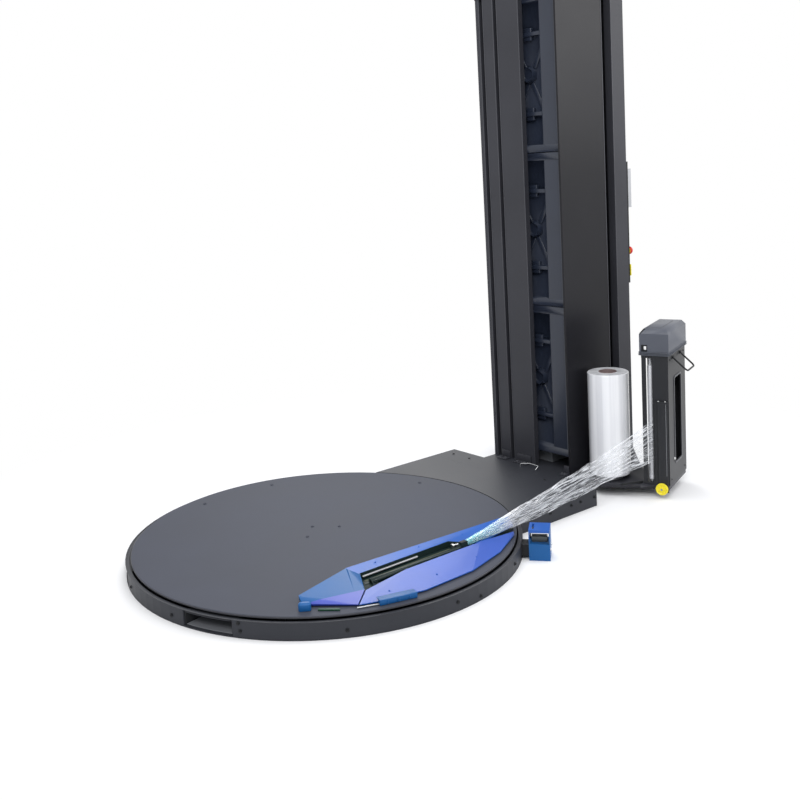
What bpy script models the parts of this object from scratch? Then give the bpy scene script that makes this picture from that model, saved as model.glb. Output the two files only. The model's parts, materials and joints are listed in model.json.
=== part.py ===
"""Turntable pallet wrapper: a low turntable with a film clamp, a mast, and a film carriage that climbs it.

Metres, +Z up. The origin is on the floor under the turntable's axis, and +X points at the mast.
"""

import math

import bmesh
import bpy
from mathutils import Matrix, Vector

# ---------------------------------------------------------------- driving dimensions
GAP = 0.0003  # clearance where two pieces touch
SHEET = 0.003  # folded sheet of the covers and of the mast
PAN = 0.005  # floor plate under the whole machine

TABLE_R = 0.825
TABLE_TOP = 0.080
TABLE_PLATE = 0.008
RING_OUT = 0.025  # from the table's edge to the round wall's outer face
RING_WALL = 0.006
RING_DROP = 0.012  # from the table's top down to the round wall's top

FORK_MID = 0.341  # middle of a fork pocket, off the centre line
FORK_WIDE = 0.200
FORK_WALL = 0.004
FORK_END = 0.500
FORK_ROOM = 0.007  # from a fork pocket up to the table's plate

WHEEL_R = 0.026
WHEEL_WIDE = 0.024
WHEEL_IN = 0.125  # from the table's edge to the support wheels
WHEEL_BESIDE = 0.050  # from a fork pocket's side to the middle of a wheel
WHEEL_SIDE = 0.004  # from a wheel to its lugs
AXLE_R = 0.006
LUG = 0.006
LUG_WIDE = 0.036

SPINDLE_R = 0.030
FLANGE = 0.010
TABLE_SPROCKET_R = 0.110
DRIVE_SPROCKET_R = 0.045
DRIVE_SHAFT_R = 0.012
CHAIN = 0.008
CHAIN_HIGH_AT = 0.030
CHAIN_CLEAR = 0.001  # from a sprocket to the chain that wraps it
CHAIN_THICK = 0.006

BRIDGE_HALF = 0.483
BRIDGE_SEAM_OUT = 0.220  # from the round wall to the seam between the bridge's covers
BRIDGE_OUT = 0.363  # from the round wall to the bridge's end
BRIDGE_GAP = 0.004  # running gap from the table's edge to the bridge

MAST_OUT = 0.445  # from the round wall to the mast's front
MAST_DEPTH = 0.474
MAST_HALF = 0.257
MAST_TOP = 2.420
CAP_HIGH = 0.030
SLOT_WIDE = 0.068
REAR_STRIP = 0.091  # from the carriage slot to the mast's back
GROOVE_IN = 0.023  # the mast's front, from its left side: groove, strip, opening, wing
GROOVE_WIDE = 0.028
STRIP_WIDE = 0.066
OPEN_WIDE = 0.027
WING_WIDE = 0.1385
FOLD_DEEP = 0.030
DOOR_SIDE = 0.059  # from the mast's left side to the rear door
DOOR_REST = 0.160  # from the mast's right side to the rear door
COVER_COUNT = 3
COVER_FOOT = 0.074  # from the mast's foot to the lowest moulded cover
COVER_DEEP = 0.055
COVER_INSET = 0.030  # from the mast's front plane to the covers
COVER_RIM = 0.035
COLUMN = 0.060
COLUMN_WALL = 0.005
COLUMN_GAP = 0.013  # from the slot to the guide column
COLUMN_IN = 0.150  # from the mast's right side to the middle of the column
PULLEY_R = 0.040
PULLEY_DROP = 0.110
MOTOR_HALF = 0.060
DRIVE_MOTOR_IN = 0.150  # from the mast's front to the drive motor's axis

CONTROL_WIDE = 0.110
CONTROL_DEEP = 0.014
BUTTON_IN = 0.026  # from the mast's side to the column of buttons
DISPLAY_DEEP = 0.030
CONTROL_LOW = 0.960
CONTROL_HIGH = 1.560
DISPLAY_LOW = 1.334
DISPLAY_HIGH = 1.524
START_Z = 1.264
STOP_Z = 1.200
ESTOP_Z = 1.118
ISOLATOR_Z = 1.023
BUTTON_R = 0.0115
ESTOP_R = 0.020
KNOB_R = 0.024

TRAY_LOW = 0.040
TRAY = 0.020
ROLL_IN = 0.1545  # from the mast's front to the roll's axis
ROLL_BESIDE = 0.0186  # from the mast's side to the film roll, past the tray's back plate
ROLL_R = 0.096
ROLL_HIGH = 0.500
ROLL_LIFT = 0.021  # thickness of the mandrel's foot
CORE_R = 0.038  # inside of the film roll's core
TROLLEY_LOW = 0.100
TROLLEY_HIGH = 0.450
BACK_PLATE = 0.008

TOWER_IN = 0.2175  # from the mast's front to the tower's near corner
TOWER_BESIDE = 0.4094  # from the mast's side to the tower's near corner
TOWER_TURN = math.radians(21)
TOWER_LONG = 0.290
TOWER_WIDE = 0.124
TOWER_TOP = 0.677
TOWER_CAP_TOP = 0.800
CAP_OVER = 0.005
FRONT_OPEN = 0.030  # gap in the tower's front, through which the film leaves
POST_WIDE = 0.020
TOWER_FLOOR = 0.008
TOWER_ROOF = 0.012
WINDOW_LOW = 0.153
WINDOW_DROP = 0.122  # from the tower's top to its side window
WINDOW_START = 0.098
WINDOW_END = 0.205
IDLER_U = 0.028
IDLER_R = 0.014
STRETCH_R = 0.032
FRONT_STRETCH_U = 0.120
REAR_STRETCH_U = 0.205
DOOR_LOW = 0.030
DOOR_HIGH = 0.464
DOOR_THICK = 0.012
DOOR_EDGE = 0.004
DOOR_WIDE = 0.057
ROPING_R = 0.028
ROPING_Z = 0.048
HANDLE_ROD = 0.004
HANDLE_START = 0.075
HANDLE_END = 0.200
HANDLE_OUT = 0.067
HANDLE_DROP = 0.017
HANDLE_FALL = 0.062
WEB = 0.002  # the film's stand-in thickness, gathered
WEB_LOW = 0.170
WEB_HIGH = 0.377
WEB_START_HIGH = 0.016
WEB_MIDDLE = (0.135, 0.235)  # heights of the film half way to the tower

CLAMP_PLATE = 0.004
RIDGE_UP = 0.037  # heights of the clamp's covers, above the table
TROUGH_UP = 0.030
LIP_UP = 0.018
RIM_UP = 0.0085
ARM_WIDE = 0.020
ARM_HALF_HIGH = 0.008
ARM_TAIL = 0.006
PAD_UP = 0.040
PAD_LONG = 0.034
CUTTER_WIDE = 0.008
CUTTER_HALF_HIGH = 0.007
CUTTER_TAIL = 0.006
PIVOT_UP = 0.015
TRUNNION_R = 0.004
EAR = 0.0045
EAR_HALF = 0.010
PUSH_ROD_R = 0.005
# places on the table, as shares of its radius
TROUGH_REAR = -0.6364
TROUGH_FRONT = -0.7479
ARM_LEFT = -0.2303  # pivot of the clamp arm
ARM_RIGHT = 0.3515
ARM_Y = -0.7152
CUTTER_LEFT = 0.1212
CUTTER_RIGHT = 0.3697  # pivot of the cutter arm
PUSH_ROD_SPAN = (-0.2364, 0.0970)

ACTUATOR_TURN = math.radians(-50.5)
ACTUATOR_GAP = 0.030  # from the round wall to the actuator
ACTUATOR_LONG = 0.085
ACTUATOR_HALF = 0.045
ACTUATOR_UP = 0.050  # heights of the box and of its mouth, from the table's top
MOUTH_DOWN = 0.010
MOUTH_UP = 0.038
PUSHER_HALF = 0.016
TAB_TURN = math.radians(-105.5)  # where the clamp's front bracket stands
TAB_HALF = 0.065

# ---------------------------------------------------------------- derived places
FLOOR = PAN + GAP
RING_R = TABLE_R + RING_OUT
RING_TOP = TABLE_TOP - RING_DROP
PLATE_LOW = TABLE_TOP - TABLE_PLATE
FORK_TOP = PLATE_LOW - FORK_ROOM
FORK_NEAR = FORK_MID - FORK_WIDE / 2
FORK_FAR = FORK_MID + FORK_WIDE / 2
WHEEL_Z = PLATE_LOW - GAP - WHEEL_R
WHEEL_RING = TABLE_R - WHEEL_IN
WHEEL_FIRST = math.degrees(math.asin((FORK_FAR + WHEEL_BESIDE) / WHEEL_RING))
WHEEL_ANGLES = (WHEEL_FIRST, 180 - WHEEL_FIRST, 180 + WHEEL_FIRST, 360 - WHEEL_FIRST)
BRIDGE_SEAM = RING_R + BRIDGE_SEAM_OUT
BRIDGE_END = RING_R + BRIDGE_OUT
MAST_FRONT = RING_R + MAST_OUT
MAST_REAR = MAST_FRONT + MAST_DEPTH
MAST_FOOT = TABLE_TOP + GAP
SHEET_TOP = MAST_TOP - CAP_HIGH
SLOT_HIGH_X = MAST_REAR - REAR_STRIP
SLOT_LOW_X = SLOT_HIGH_X - SLOT_WIDE
SLOT_MID_X = SLOT_HIGH_X - SLOT_WIDE / 2
GROOVE_LEFT = MAST_HALF - GROOVE_IN
GROOVE_RIGHT = GROOVE_LEFT - GROOVE_WIDE
STRIP_EDGE = GROOVE_RIGHT - STRIP_WIDE
WING_LEFT = STRIP_EDGE - OPEN_WIDE
WING_RIGHT = WING_LEFT - WING_WIDE
REAR_DOOR_LEFT = MAST_HALF - DOOR_SIDE
REAR_DOOR_RIGHT = -MAST_HALF + DOOR_REST
COVER_LOW = MAST_FOOT + COVER_FOOT
COVER_PITCH = (SHEET_TOP - 0.013 - COVER_LOW) / COVER_COUNT
COLUMN_X = SLOT_HIGH_X + COLUMN / 2 + COLUMN_GAP
COLUMN_Y = -MAST_HALF + COLUMN_IN
PULLEY_X = SLOT_MID_X + PULLEY_R + GAP
PULLEY_Y = COLUMN_Y + COLUMN / 2 + 0.060
PULLEY_Z = SHEET_TOP - PULLEY_DROP
DRIVE_X = MAST_FRONT + DRIVE_MOTOR_IN
CONTROL_Y = -MAST_HALF + CONTROL_WIDE / 2 + SHEET
CONTROL_FACE = MAST_REAR + GAP + CONTROL_DEEP
BUTTON_Y = -MAST_HALF + BUTTON_IN
TRAY_TOP = TRAY_LOW + TRAY
TROLLEY_END = -MAST_HALF - 0.012  # plane where the trolley's arm meets the tray
ROLL_AT = (MAST_FRONT + ROLL_IN, -MAST_HALF - ROLL_BESIDE - ROLL_R)
TOWER_CORNER = (MAST_FRONT + TOWER_IN, -MAST_HALF - TOWER_BESIDE)
FRONT_PANEL = TOWER_WIDE - POST_WIDE - FRONT_OPEN
WINDOW_HIGH = TOWER_TOP - WINDOW_DROP
IDLER_AT = (IDLER_U, TOWER_WIDE - POST_WIDE - IDLER_R)
FRONT_STRETCH_AT = (FRONT_STRETCH_U, SHEET + STRETCH_R + 0.010)
REAR_STRETCH_AT = (REAR_STRETCH_U, TOWER_WIDE - SHEET - STRETCH_R - 0.010)
CLAMP_BASE = TABLE_TOP + GAP
CLAMP_FLOOR = CLAMP_BASE + CLAMP_PLATE + GAP
PIVOT_Z = TABLE_TOP + PIVOT_UP
PAD_TOP = TABLE_TOP + PAD_UP
ACTUATOR_IN = RING_R + ACTUATOR_GAP
ACTUATOR_OUT = ACTUATOR_IN + ACTUATOR_LONG
ACTUATOR_HIGH = TABLE_TOP + ACTUATOR_UP
MOUTH_LOW = TABLE_TOP - MOUTH_DOWN
MOUTH_HIGH = TABLE_TOP + MOUTH_UP


# ---------------------------------------------------------------- helpers
def clear_scene():
    """Remove every object of the startup scene."""
    for obj in list(bpy.data.objects):
        bpy.data.objects.remove(obj, do_unlink=True)


def paint(name, colour, roughness=0.5, metallic=0.0, alpha=1.0):
    """A plain Principled material."""
    made = bpy.data.materials.new(name)
    made.use_nodes = True
    shader = made.node_tree.nodes["Principled BSDF"]
    shader.inputs["Base Color"].default_value = (*colour, 1.0)
    shader.inputs["Roughness"].default_value = roughness
    shader.inputs["Metallic"].default_value = metallic
    shader.inputs["Alpha"].default_value = alpha
    made.diffuse_color = (*colour, alpha)
    return made


def make(name, bm, material=None, pivot=(0, 0, 0), smooth=None):
    """Turn a bmesh in world metres into an object whose origin is at pivot."""
    bmesh.ops.remove_doubles(bm, verts=bm.verts[:], dist=1e-6)
    bmesh.ops.recalc_face_normals(bm, faces=bm.faces[:])
    bmesh.ops.translate(bm, verts=bm.verts[:], vec=-Vector(pivot))
    mesh = bpy.data.meshes.new(name)
    bm.to_mesh(mesh)
    bm.free()
    obj = bpy.data.objects.new(name, mesh)
    obj.location = pivot
    bpy.context.scene.collection.objects.link(obj)
    if smooth:
        mesh.shade_smooth()
        mesh.set_sharp_from_angle(angle=math.radians(smooth))
    if material:
        mesh.materials.append(material)
    else:
        obj.hide_render = True
        obj.display_type = "WIRE"
    return obj


def add_box(bm, low, high):
    """Add a box between two corners."""
    middle = [(a + b) / 2 for a, b in zip(low, high)]
    sides = [b - a for a, b in zip(low, high)]
    place = Matrix.Translation(middle) @ Matrix.Diagonal((*sides, 1))
    bmesh.ops.create_cube(bm, size=1, matrix=place)


def box(low, high):
    """A bmesh with one box."""
    bm = bmesh.new()
    add_box(bm, low, high)
    return bm


def prism(outline, low, high):
    """An outline in X and Y, drawn up from low to high."""
    bm = bmesh.new()
    face = bm.faces.new([bm.verts.new((x, y, low)) for x, y in outline])
    grown = bmesh.ops.extrude_face_region(bm, geom=[face])
    tops = [v for v in grown["geom"] if isinstance(v, bmesh.types.BMVert)]
    bmesh.ops.translate(bm, verts=tops, vec=(0, 0, high - low))
    return bm


def rod(start, end, radius, sides=24):
    """A round bar from start to end."""
    start = Vector(start)
    run = Vector(end) - start
    turn = run.to_track_quat("Z", "Y").to_matrix().to_4x4()
    place = Matrix.Translation(start + run / 2) @ turn
    bm = bmesh.new()
    bmesh.ops.create_cone(
        bm, cap_ends=True, segments=sides, radius1=radius, radius2=radius, depth=run.length, matrix=place
    )
    return bm


def turned(profile, place, sides=32):
    """A closed profile of (radius, height) spun about the local Z axis, then put in place."""
    bm = bmesh.new()
    ring = [bm.verts.new((r, 0, z)) for r, z in profile]
    edges = [bm.edges.new((a, b)) for a, b in zip(ring, ring[1:] + ring[:1])]
    bmesh.ops.spin(
        bm, geom=ring + edges, cent=(0, 0, 0), axis=(0, 0, 1), angle=math.tau, steps=sides, use_merge=True
    )
    bmesh.ops.remove_doubles(bm, verts=bm.verts[:], dist=1e-6)
    bmesh.ops.transform(bm, matrix=place, verts=bm.verts[:])
    return bm


def hull(points):
    """The smallest convex body around some points."""
    bm = bmesh.new()
    for point in points:
        bm.verts.new(point)
    made = bmesh.ops.convex_hull(bm, input=bm.verts[:])
    inner = [v for v in made["geom_interior"] if isinstance(v, bmesh.types.BMVert)]
    bmesh.ops.delete(bm, geom=inner, context="VERTS")
    return bm


def arc(radius, start, end, steps):
    """Points on a circle about the origin, from one angle to another in degrees."""
    angles = [math.radians(start + (end - start) * i / steps) for i in range(steps + 1)]
    return [(radius * math.cos(a), radius * math.sin(a)) for a in angles]


def folded(points, thick):
    """The outline of a folded sheet: a line of points, thickened to its left."""
    line = [Vector(p) for p in points]
    ways = [(b - a).normalized() for a, b in zip(line, line[1:])]
    sides = [Vector((-w.y, w.x)) for w in ways]
    inner = [line[0] + sides[0] * thick]
    for i in range(1, len(line) - 1):
        mitre = sides[i - 1] + sides[i]
        inner.append(line[i] + mitre * (thick / (1 + sides[i - 1].dot(sides[i]))))
    inner.append(line[-1] + sides[-1] * thick)
    return [tuple(p) for p in line + inner[::-1]]


def boolean(obj, bm, operation="DIFFERENCE"):
    """Cut or join a bmesh shape, kept as a hidden helper object."""
    helper = make(f"{obj.name}_{operation.lower()}", bm)
    step = obj.modifiers.new(operation.title(), "BOOLEAN")
    step.operation = operation
    step.object = helper
    step.solver = "EXACT"
    helper.parent = obj
    helper.matrix_parent_inverse = Matrix.Translation(-obj.location)
    return obj


def tower(u, v, z=0.0):
    """A place in the film tower: u along its long side, v across it from the right."""
    c, s = math.cos(TOWER_TURN), math.sin(TOWER_TURN)
    return (TOWER_CORNER[0] + u * c - v * s, TOWER_CORNER[1] + u * s + v * c, z)


def tower_plan(points):
    """A tower outline as places on the floor plan."""
    return [tower(u, v)[:2] for u, v in points]


def radial(turn, r, t, z=0.0):
    """A place beside the table: r out from its axis along an angle, t across."""
    c, s = math.cos(turn), math.sin(turn)
    return (r * c - t * s, r * s + t * c, z)


def radial_box(turn, r0, r1, half, low, high):
    """A box that stands along a radius of the table."""
    plan = [(r0, -half), (r1, -half), (r1, half), (r0, half)]
    return prism([radial(turn, r, t)[:2] for r, t in plan], low, high)


def on_table(points):
    """Places given as shares of the table's radius and a height above it, in metres."""
    return [(x * TABLE_R, y * TABLE_R, TABLE_TOP + up) for x, y, up in points]


def sloped(points, low):
    """A flat-bottomed body whose outline has its own top height at each corner."""
    bm = bmesh.new()
    top = [bm.verts.new(p) for p in points]
    foot = [bm.verts.new((x, y, low)) for x, y, _ in points]
    bm.faces.new(foot)
    lid = bm.faces.new(top)
    for i in range(len(points)):
        j = (i + 1) % len(points)
        bm.faces.new((foot[i], foot[j], top[j], top[i]))
    bmesh.ops.triangulate(bm, faces=[lid], ngon_method="EAR_CLIP")
    return bm


def pins(places, radius, depth, sides=16):
    """Cylinders for round holes, one at each matrix."""
    bm = bmesh.new()
    for place in places:
        bmesh.ops.create_cone(
            bm, cap_ends=True, segments=sides, radius1=radius, radius2=radius, depth=depth, matrix=place
        )
    return bm


# ---------------------------------------------------------------- base
def base_outline(half, inset=0.0):
    """The floor plan of the machine, from the turntable to the back of the mast."""
    start = math.degrees(math.asin((half - inset) / (RING_R - inset)))
    front = arc(RING_R - inset, start, 360 - start, 96)
    neck = MAST_HALF - inset
    return front + [
        (BRIDGE_END - inset, -half + inset),
        (BRIDGE_END - inset, -neck),
        (MAST_REAR - inset, -neck),
        (MAST_REAR - inset, neck),
        (BRIDGE_END - inset, neck),
        (BRIDGE_END - inset, half - inset),
    ]


def wheel_place(angle):
    """The middle of a support wheel, with Z along its axle, pointing out."""
    a = math.radians(angle)
    middle = Vector((WHEEL_RING * math.cos(a), WHEEL_RING * math.sin(a), WHEEL_Z))
    turn = Vector((math.cos(a), math.sin(a), 0)).to_track_quat("Z", "Y").to_matrix().to_4x4()
    return middle, Matrix.Translation(middle) @ turn


def base_pan(paintwork):
    """Floor plate, with the welded lugs that carry the support wheels."""
    pan = make("base_pan", prism(base_outline(BRIDGE_HALF), 0, PAN), paintwork)
    lugs = bmesh.new()
    low = PAN / 2
    high = WHEEL_Z + 2 * AXLE_R
    for angle in WHEEL_ANGLES:
        a = math.radians(angle)
        for side in (-1, 1):
            away = WHEEL_RING + side * (WHEEL_WIDE / 2 + WHEEL_SIDE + LUG / 2)
            place = Matrix.Translation((away * math.cos(a), away * math.sin(a), (low + high) / 2))
            size = Matrix.Diagonal((LUG, LUG_WIDE, high - low, 1))
            bmesh.ops.create_cube(lugs, size=1, matrix=place @ Matrix.Rotation(a, 4, "Z") @ size)
    boolean(pan, lugs, "UNION")
    boolean(pan, pins([wheel_place(angle)[1] for angle in WHEEL_ANGLES], AXLE_R + GAP, 2.5 * WHEEL_WIDE))


def ring_skirt(paintwork):
    """Fixed round wall under the table's edge, with ports for the forks and the chain."""
    profile = [
        (RING_R, RING_TOP),
        (RING_R, FLOOR),
        (RING_R - RING_WALL, FLOOR),
        (RING_R - RING_WALL, RING_TOP),
    ]
    ring = make("ring_skirt", turned(profile, Matrix.Identity(4), 96), paintwork, smooth=30)
    ports = bmesh.new()
    half = FORK_WIDE / 2 + 0.002
    for side in (-1, 1):
        middle = side * FORK_MID
        add_box(ports, (-2 * RING_R, middle - half, 0), (-RING_R / 2, middle + half, FORK_TOP + 0.001))
    chain_half = TABLE_SPROCKET_R + 0.040
    chain_low = CHAIN_HIGH_AT - 0.014
    add_box(ports, (RING_R / 2, -chain_half, chain_low), (2 * RING_R, chain_half, RING_TOP - 0.008))
    boolean(ring, ports)


def fork_pocket(name, side, paintwork):
    """Rectangular tube for a pallet truck's fork, its mouth cut to the round wall."""
    reach = RING_R - RING_WALL - GAP
    steps = 8
    mouth = []
    for i in range(steps + 1):
        y = FORK_NEAR + FORK_WIDE * i / steps
        mouth.append((-math.sqrt(reach * reach - y * y), side * y))
    outline = mouth + [(FORK_END, side * FORK_FAR), (FORK_END, side * FORK_NEAR)]
    tube = make(name, prism(outline, FLOOR, FORK_TOP), paintwork)
    inside = FORK_WIDE / 2 - FORK_WALL
    low = (-2 * RING_R, side * FORK_MID - inside, FLOOR + FORK_WALL)
    high = (2 * FORK_END, side * FORK_MID + inside, FORK_TOP - FORK_WALL)
    boolean(tube, box(low, high))


def centre_spindle(steel):
    """Flanged post that the turntable's hub turns on."""
    top = PLATE_LOW - 0.002
    flange = FLOOR + FLANGE
    profile = [
        (SPINDLE_R, top),
        (SPINDLE_R, flange),
        (SPINDLE_R + 0.040, flange),
        (SPINDLE_R + 0.040, FLOOR),
        (0, FLOOR),
        (0, top),
    ]
    make("centre_spindle", turned(profile, Matrix.Identity(4)), steel, smooth=30)


def bridge_front_cover(paintwork):
    """Low cover between the turntable and the seam, with a lip over the round wall."""
    lip_r = TABLE_R + BRIDGE_GAP
    lip_turn = math.degrees(math.asin(BRIDGE_HALF / lip_r))
    wall_r = RING_R + GAP
    wall_turn = math.degrees(math.asin(BRIDGE_HALF / wall_r))
    end = BRIDGE_SEAM - GAP
    top = arc(lip_r, lip_turn, -lip_turn, 24) + [(end, -BRIDGE_HALF), (end, BRIDGE_HALF)]
    body = arc(wall_r, wall_turn, -wall_turn, 24) + [(end, -BRIDGE_HALF), (end, BRIDGE_HALF)]
    cover = make("bridge_front_cover", prism(top, TABLE_TOP - SHEET, TABLE_TOP), paintwork)
    boolean(cover, prism(body, FLOOR, TABLE_TOP - SHEET / 2), "UNION")
    inside = BRIDGE_HALF - SHEET
    boolean(cover, box((0, -inside, 0), (end + 0.1, inside, TABLE_TOP - SHEET)))


def bridge_rear_cover(paintwork):
    """Cover from the seam to the back of the mast, which stands on it."""
    neck = MAST_HALF
    plan = [
        (BRIDGE_SEAM, -BRIDGE_HALF),
        (BRIDGE_END, -BRIDGE_HALF),
        (BRIDGE_END, -neck),
        (MAST_REAR, -neck),
        (MAST_REAR, neck),
        (BRIDGE_END, neck),
        (BRIDGE_END, BRIDGE_HALF),
        (BRIDGE_SEAM, BRIDGE_HALF),
    ]
    cover = make("bridge_rear_cover", prism(plan, FLOOR, TABLE_TOP), paintwork)
    low = BRIDGE_SEAM - 0.1
    hollow = [
        (low, -BRIDGE_HALF + SHEET),
        (BRIDGE_END - SHEET, -BRIDGE_HALF + SHEET),
        (BRIDGE_END - SHEET, -neck + SHEET),
        (MAST_REAR - SHEET, -neck + SHEET),
        (MAST_REAR - SHEET, neck - SHEET),
        (BRIDGE_END - SHEET, neck - SHEET),
        (BRIDGE_END - SHEET, BRIDGE_HALF - SHEET),
        (low, BRIDGE_HALF - SHEET),
    ]
    boolean(cover, prism(hollow, 0, TABLE_TOP - SHEET))
    shaft_hole = DRIVE_SHAFT_R + 0.004
    boolean(cover, rod((DRIVE_X, 0, TABLE_TOP - 0.030), (DRIVE_X, 0, TABLE_TOP + 0.020), shaft_hole))


def drive_parts(steel, iron, dark):
    """Gearmotor on the mast's floor, its sprocket below, and the chain to the table."""
    gear_top = MAST_FOOT + 2 * MOTOR_HALF
    low = (DRIVE_X - MOTOR_HALF, -MOTOR_HALF, MAST_FOOT)
    motor = make("drive_motor", box(low, (DRIVE_X + MOTOR_HALF, MOTOR_HALF, gear_top)), iron)
    can = rod((DRIVE_X, 0, gear_top - 0.020), (DRIVE_X, 0, gear_top + 0.220), MOTOR_HALF - 0.005)
    boolean(motor, can, "UNION")
    shaft_top = MAST_FOOT - 2 * GAP
    chain_top = CHAIN_HIGH_AT + CHAIN
    profile = [
        (DRIVE_SHAFT_R, shaft_top),
        (DRIVE_SHAFT_R, chain_top),
        (DRIVE_SPROCKET_R, chain_top),
        (DRIVE_SPROCKET_R, CHAIN_HIGH_AT),
        (0, CHAIN_HIGH_AT),
        (0, shaft_top),
    ]
    axis = (DRIVE_X, 0, 0)
    make("drive_sprocket", turned(profile, Matrix.Translation(axis)), steel, pivot=axis, smooth=30)
    lean = math.degrees(math.asin((TABLE_SPROCKET_R - DRIVE_SPROCKET_R) / DRIVE_X))

    def loop(grow):
        big = arc(TABLE_SPROCKET_R + grow, 90 - lean, 270 + lean, 24)
        small = arc(DRIVE_SPROCKET_R + grow, -90 + lean, 90 - lean, 12)
        return big + [(x + DRIVE_X, y) for x, y in small]

    chain = make("drive_chain", prism(loop(CHAIN_CLEAR + CHAIN_THICK), CHAIN_HIGH_AT, chain_top), dark)
    boolean(chain, prism(loop(CHAIN_CLEAR), 0, TABLE_TOP))


def support_wheel(index, angle, rubber):
    """Wheel with its stub axle, under the table's plate."""
    middle, place = wheel_place(angle)
    half = WHEEL_WIDE / 2
    reach = half + WHEEL_SIDE + LUG + 0.002
    profile = [
        (0, reach),
        (AXLE_R, reach),
        (AXLE_R, half),
        (WHEEL_R, half),
        (WHEEL_R, -half),
        (AXLE_R, -half),
        (AXLE_R, -reach),
        (0, -reach),
    ]
    make(f"support_wheel_{index}", turned(profile, place, 24), rubber, pivot=middle, smooth=30)


# ---------------------------------------------------------------- turntable and film clamp
def turntable_parts(paintwork, iron):
    """Round plate, and under it the hub that carries the table's sprocket."""
    edge = 0.002
    plate = [
        (0, TABLE_TOP),
        (0, PLATE_LOW),
        (TABLE_R, PLATE_LOW),
        (TABLE_R, TABLE_TOP - edge),
        (TABLE_R - edge, TABLE_TOP),
    ]
    make("turntable_plate", turned(plate, Matrix.Identity(4), 96), paintwork, smooth=20)
    bore = SPINDLE_R + GAP
    hub = SPINDLE_R + 0.015
    foot = FLOOR + FLANGE + GAP
    chain_top = CHAIN_HIGH_AT + CHAIN
    profile = [
        (bore, PLATE_LOW - GAP),
        (bore, foot),
        (hub, foot),
        (hub, CHAIN_HIGH_AT),
        (TABLE_SPROCKET_R, CHAIN_HIGH_AT),
        (TABLE_SPROCKET_R, chain_top),
        (hub, chain_top),
        (hub, PLATE_LOW - GAP),
    ]
    make("table_sprocket", turned(profile, Matrix.Identity(4), 40), iron, smooth=30)


def clamp_base(blue):
    """Floor plate of the film clamp, with its front bracket and the ears of the two arms."""
    plan = [
        (-0.588, -0.673),
        (-0.406, -0.841),
        (-0.273, -0.897),
        (-0.104, -0.928),
        (0.190, -0.919),
        (0.436, -0.851),
        (0.636, -0.742),
        (0.727, -0.618),
        (-0.570, -0.624),
    ]
    plan = [(x * TABLE_R, y * TABLE_R) for x, y in plan]
    top = CLAMP_BASE + CLAMP_PLATE
    base = make("clamp_base", prism(plan, CLAMP_BASE, top), blue)
    edge = TABLE_R - 0.025
    start = TABLE_R * 0.85
    bracket = radial_box(TAB_TURN, start, edge, TAB_HALF, CLAMP_BASE + 0.0005, top - 0.0007)
    boolean(base, bracket, "UNION")
    foot = CLAMP_BASE + 0.001
    upright = radial_box(TAB_TURN, edge - 0.011, edge + 0.001, TAB_HALF - 0.001, foot, top + 0.014)
    boolean(base, upright, "UNION")
    ears = bmesh.new()
    ear_top = PIVOT_Z + 2 * TRUNNION_R
    holes = []
    for x, y in clamp_ears():
        add_box(ears, (x - EAR_HALF, y, CLAMP_BASE + 0.001), (x + EAR_HALF, y + EAR, ear_top))
        turn = Matrix.Rotation(math.radians(90), 4, "X")
        holes.append(Matrix.Translation((x, y, PIVOT_Z)) @ turn)
    boolean(base, ears, "UNION")
    boolean(base, pins(holes, TRUNNION_R + GAP, 4 * EAR))


def clamp_ears():
    """Places of the ears' near faces: two for the clamp arm, one for the cutter arm."""
    arm_x = ARM_LEFT * TABLE_R
    arm_y = ARM_Y * TABLE_R
    half = ARM_WIDE / 2 + GAP
    cutter_far = TROUGH_FRONT * TABLE_R + GAP + CUTTER_WIDE
    return [(arm_x, arm_y - half - EAR), (arm_x, arm_y + half), (CUTTER_RIGHT * TABLE_R, cutter_far + GAP)]


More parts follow.
